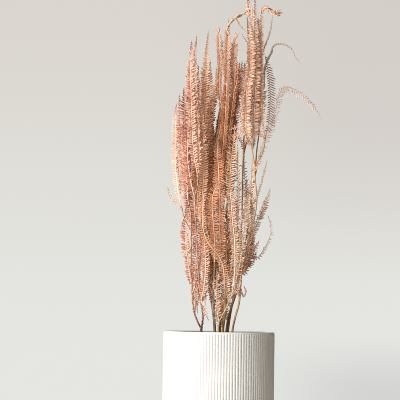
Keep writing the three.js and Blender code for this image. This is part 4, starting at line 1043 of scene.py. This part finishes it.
# The right back frond: the widest, with thin sprays that arch out past the rest and short sprigs low on the right.
set_frond(
    "right_back_fern",
    dye={"Leaf": "#f1ccb4", "Deep": "#cc8e6e", "Pale": "#feece2",
         "Tip": "#d0bcb8", "Stalk": "#d6aa80", "Bark": "#8a5a3e"},
    slot="fern_peach",
    replaced="frond_right_back",
    plan=stem(1.4, [(8, 11, -100), (8, 11, -65), (12, 13, 2), (17, 17, 36), (24, 20, 69), (30, 22, 97)],
        spray([(40, 16, 102), (51, 12, 101), (59, 10, 113), (65, 9, 124), (68, 8, 135), (67, 8, 146), (64, 8, 156)],
            4.5, fold=20, tone=-0.7, slim=0.75, open=40),
        sprig([(12, 14, 9), (10, 16, 22), (9, 17, 37), (10, 17, 53)], 4.5, tone=0.4),
        sprig([(18, 18, 42), (15, 19, 56), (13, 20, 71), (13, 21, 86)], 5, tone=0.4),
        sprig([(16, 16, 30), (11, 15, 44), (9, 15, 58), (9, 15, 76)], 5.5),
        sprig([(24, 20, 69), (17, 21, 77), (13, 22, 91), (11, 23, 110)], 6.5, tone=0.4),
        sprig([(26, 21, 79), (20, 23, 91), (17, 24, 106), (15, 25, 126)], 7, tone=0.4),
        arm([(34, 22, 116)],
            spray([(42, 20, 128), (50, 18, 147), (58, 16, 166), (66, 14, 193)], 5.5, fold=20, tone=-0.8),
            arm([(37, 24, 140), (40, 25, 164)],
                spray([(48, 20, 181), (53, 16, 197), (57, 14, 212), (62, 12, 232)], 2.5),
                arm([(43, 26, 191), (47, 26, 218)],
                    spray([(53, 22, 243), (61, 18, 264), (69, 15, 286), (74, 13, 308), (78, 12, 325), (85, 11, 333),
                        (96, 10, 329), (111, 8, 320), (124, 6, 306), (134, 4, 291)], 6.5, long=1.15, fold=15,
                        tip_from=0.6, taper=0.85, slim=0.6, gap=1.15, loose=0.6, rib=0.7, tone=-0.7, roll=0,
                        lean=25, alone=True),
                    arm([(48, 26, 245), (51, 24, 272)],
                        spray([(54, 17, 302), (55, 13, 333), (56, 12, 356), (60, 11, 369), (65, 10, 379),
                            (68, 9, 388), (76, 8, 392), (87, 7, 389), (95, 6, 382), (98, 5, 374), (104, 4, 367)], 6,
                            tip_from=0.3, press=0.34, tone=0, wither=(0.2, 0.45)),
                        spray([(47, 27, 299), (45, 27, 329), (48, 23, 360), (55, 17, 386), (61, 14, 401),
                            (64, 12, 413), (66, 11, 427)], 7, tip_from=0.4, press=0.55, tone=0, rib=1.5,
                            wither=(0.45, 0.65)))),
                spray([(35, 31, 188), (32, 33, 215), (31, 34, 242)], 8.5, long=0.6, fold=25, tone=-1, slim=0.7,
                    gap=1.3, loose=1.4, alone=True))),
        arm([(23, 26, 113), (19, 29, 140)],
            spray([(15, 33, 171), (12, 36, 204), (12, 36, 245), (14, 34, 283), (19, 30, 321), (23, 26, 356)], 8.5,
                fold=25),
            spray([(23, 25, 171), (23, 22, 204), (22, 20, 227), (22, 20, 245)], 8, long=0.7, tone=-0.9, slim=0.7,
                gap=1.25, loose=1.4, alone=True))),
)


# The floor: a plain pale disc under the vase.
FLOOR_RADIUS = 1.6
FLOOR_CORNERS = 96
# Its edge from below, in metres: how far it draws in, and its height.
FLOOR_EDGE = [(0.004, -0.012), (0, -0.008), (0, -0.002), (0.002, 0)]


def floor_material():
    """Pale matte paint with a faint unevenness."""
    material, tree, shader = new_material("pale floor")
    surface = use_group(tree, MOTTLE, {
        "Colour": linear("#d0cfcb"), "Patch Colour": linear("#cccbc7"), "Patch Scale": 5, "Grain Scale": 400,
    })
    roughness = remap(tree, surface["Patch"], 0, 1, 0.8, 0.9)
    finish_surface(tree, shader, surface["Colour"], roughness, surface["Grain"], 0.0001)
    return material


def floor_mesh():
    """A thin disc whose top is level with the vase's base."""
    turns = [corner / FLOOR_CORNERS * math.tau for corner in range(FLOOR_CORNERS)]
    rings = [(FLOOR_RADIUS - inward, height) for inward, height in FLOOR_EDGE]
    corners = [(r * math.cos(turn), r * math.sin(turn), height) for r, height in rings for turn in turns]
    return corners, rings_of(len(rings), len(turns))


floor_corners, floor_faces = floor_mesh()
floor_shape = bpy.data.meshes.new("floor")
floor_shape.from_pydata(floor_corners, [], floor_faces)
floor_shape.materials.append(floor_material())
floor = bpy.data.objects.new("floor", floor_shape)
bpy.context.scene.collection.objects.link(floor)


# The light: one large soft window-like light from the left, in front and above, and a pale room all round, which is
# warm grey above and lighter below, and gives back less light, and warmer, from the right.
KEY_PLACE = (-1.95, -1.92, 1.35)
KEY_AIM = (0, 0, 0.35)
KEY_SIZE = 2.1
KEY_POWER = 124
KEY_COLOUR = (1.0, 0.998, 0.985)
ROOM_STRENGTH = 0.65


def set_key_light():
    """The window-like light."""
    lamp = bpy.data.lights.new("window", "AREA")
    lamp.shape = "SQUARE"
    lamp.size = KEY_SIZE
    lamp.energy = KEY_POWER
    lamp.color = KEY_COLOUR
    window = bpy.data.objects.new("window", lamp)
    window.location = KEY_PLACE
    window.rotation_euler = (Vector(KEY_AIM) - Vector(KEY_PLACE)).to_track_quat("-Z", "Y").to_euler()
    bpy.context.scene.collection.objects.link(window)


def set_room():
    """The pale room: what is seen behind the vase, and the dimmer light that it gives back."""
    world = bpy.data.worlds.new("pale room")
    bpy.context.scene.world = world
    world.use_nodes = True
    tree = world.node_tree
    tree.nodes.clear()
    heading = put(tree, "SeparateXYZ", {}, {0: put(tree, "TexCoord").outputs["Generated"]}).outputs
    wall = tint(tree, remap(tree, heading[2], -0.03, 0.15), linear("#e5e6e2"), linear("#dad5ce"))
    corner = times(tree, remap(tree, heading[0], -0.04, 0.06), remap(tree, heading[2], 0, 0.09))
    wall = tint(tree, times(tree, corner, 0.7), wall, linear("#d1cbc6"))
    low_corner = times(tree, remap(tree, heading[0], 0.005, 0.07), remap(tree, heading[2], -0.012, -0.042))
    wall = tint(tree, low_corner, wall, linear("#d4d5d3"))
    seen = put(tree, "Background", {}, {"Color": wall, "Strength": 1.0})
    far_side = tint(tree, remap(tree, heading[0], -0.3, 0.9), linear("#eee9e0"), linear("#604728"))
    given = put(tree, "Background", {}, {"Color": far_side, "Strength": ROOM_STRENGTH})
    is_seen = put(tree, "LightPath").outputs["Is Camera Ray"]
    mixed = put(tree, "MixShader", {}, {0: is_seen, 1: given.outputs[0], 2: seen.outputs[0]})
    output = put(tree, "OutputWorld")
    tree.links.new(mixed.outputs[0], output.inputs["Surface"])


set_key_light()
set_room()
bpy.context.scene.view_settings.view_transform = "Standard"
bpy.context.scene.cycles.filter_width = 1.0
bpy.context.scene.cycles.denoising_prefilter = "NONE"


# The camera: a little above the vase's rim, three metres off with a long lens, and turned by less than a degree.
CAMERA_EYE = Vector((0, -3, 0.244))
CAMERA_AIM = Vector((-0.0281, 0, 0.377))
CAMERA_ROLL = math.radians(0.8)
CAMERA_LENS = 200
CAMERA_FILM = 36
CAMERA_REACH = 20


def set_camera():
    """The camera of the photograph's viewing angle."""
    camera = bpy.data.objects.new("camera", bpy.data.cameras.new("camera"))
    camera.data.lens = CAMERA_LENS
    camera.data.sensor_width = CAMERA_FILM
    camera.data.clip_end = CAMERA_REACH
    forward = (CAMERA_AIM - CAMERA_EYE).normalized()
    right = forward.cross(Vector((0, 0, 1))).normalized()
    level_up = right.cross(forward)
    up = level_up * math.cos(CAMERA_ROLL) - right * math.sin(CAMERA_ROLL)
    axes = [forward.cross(up), up, -forward]
    rows = [[axis[i] for axis in axes] + [CAMERA_EYE[i]] for i in range(3)] + [[0, 0, 0, 1]]
    camera.matrix_world = Matrix(rows)
    bpy.context.scene.collection.objects.link(camera)
    bpy.context.scene.camera = camera


set_camera()
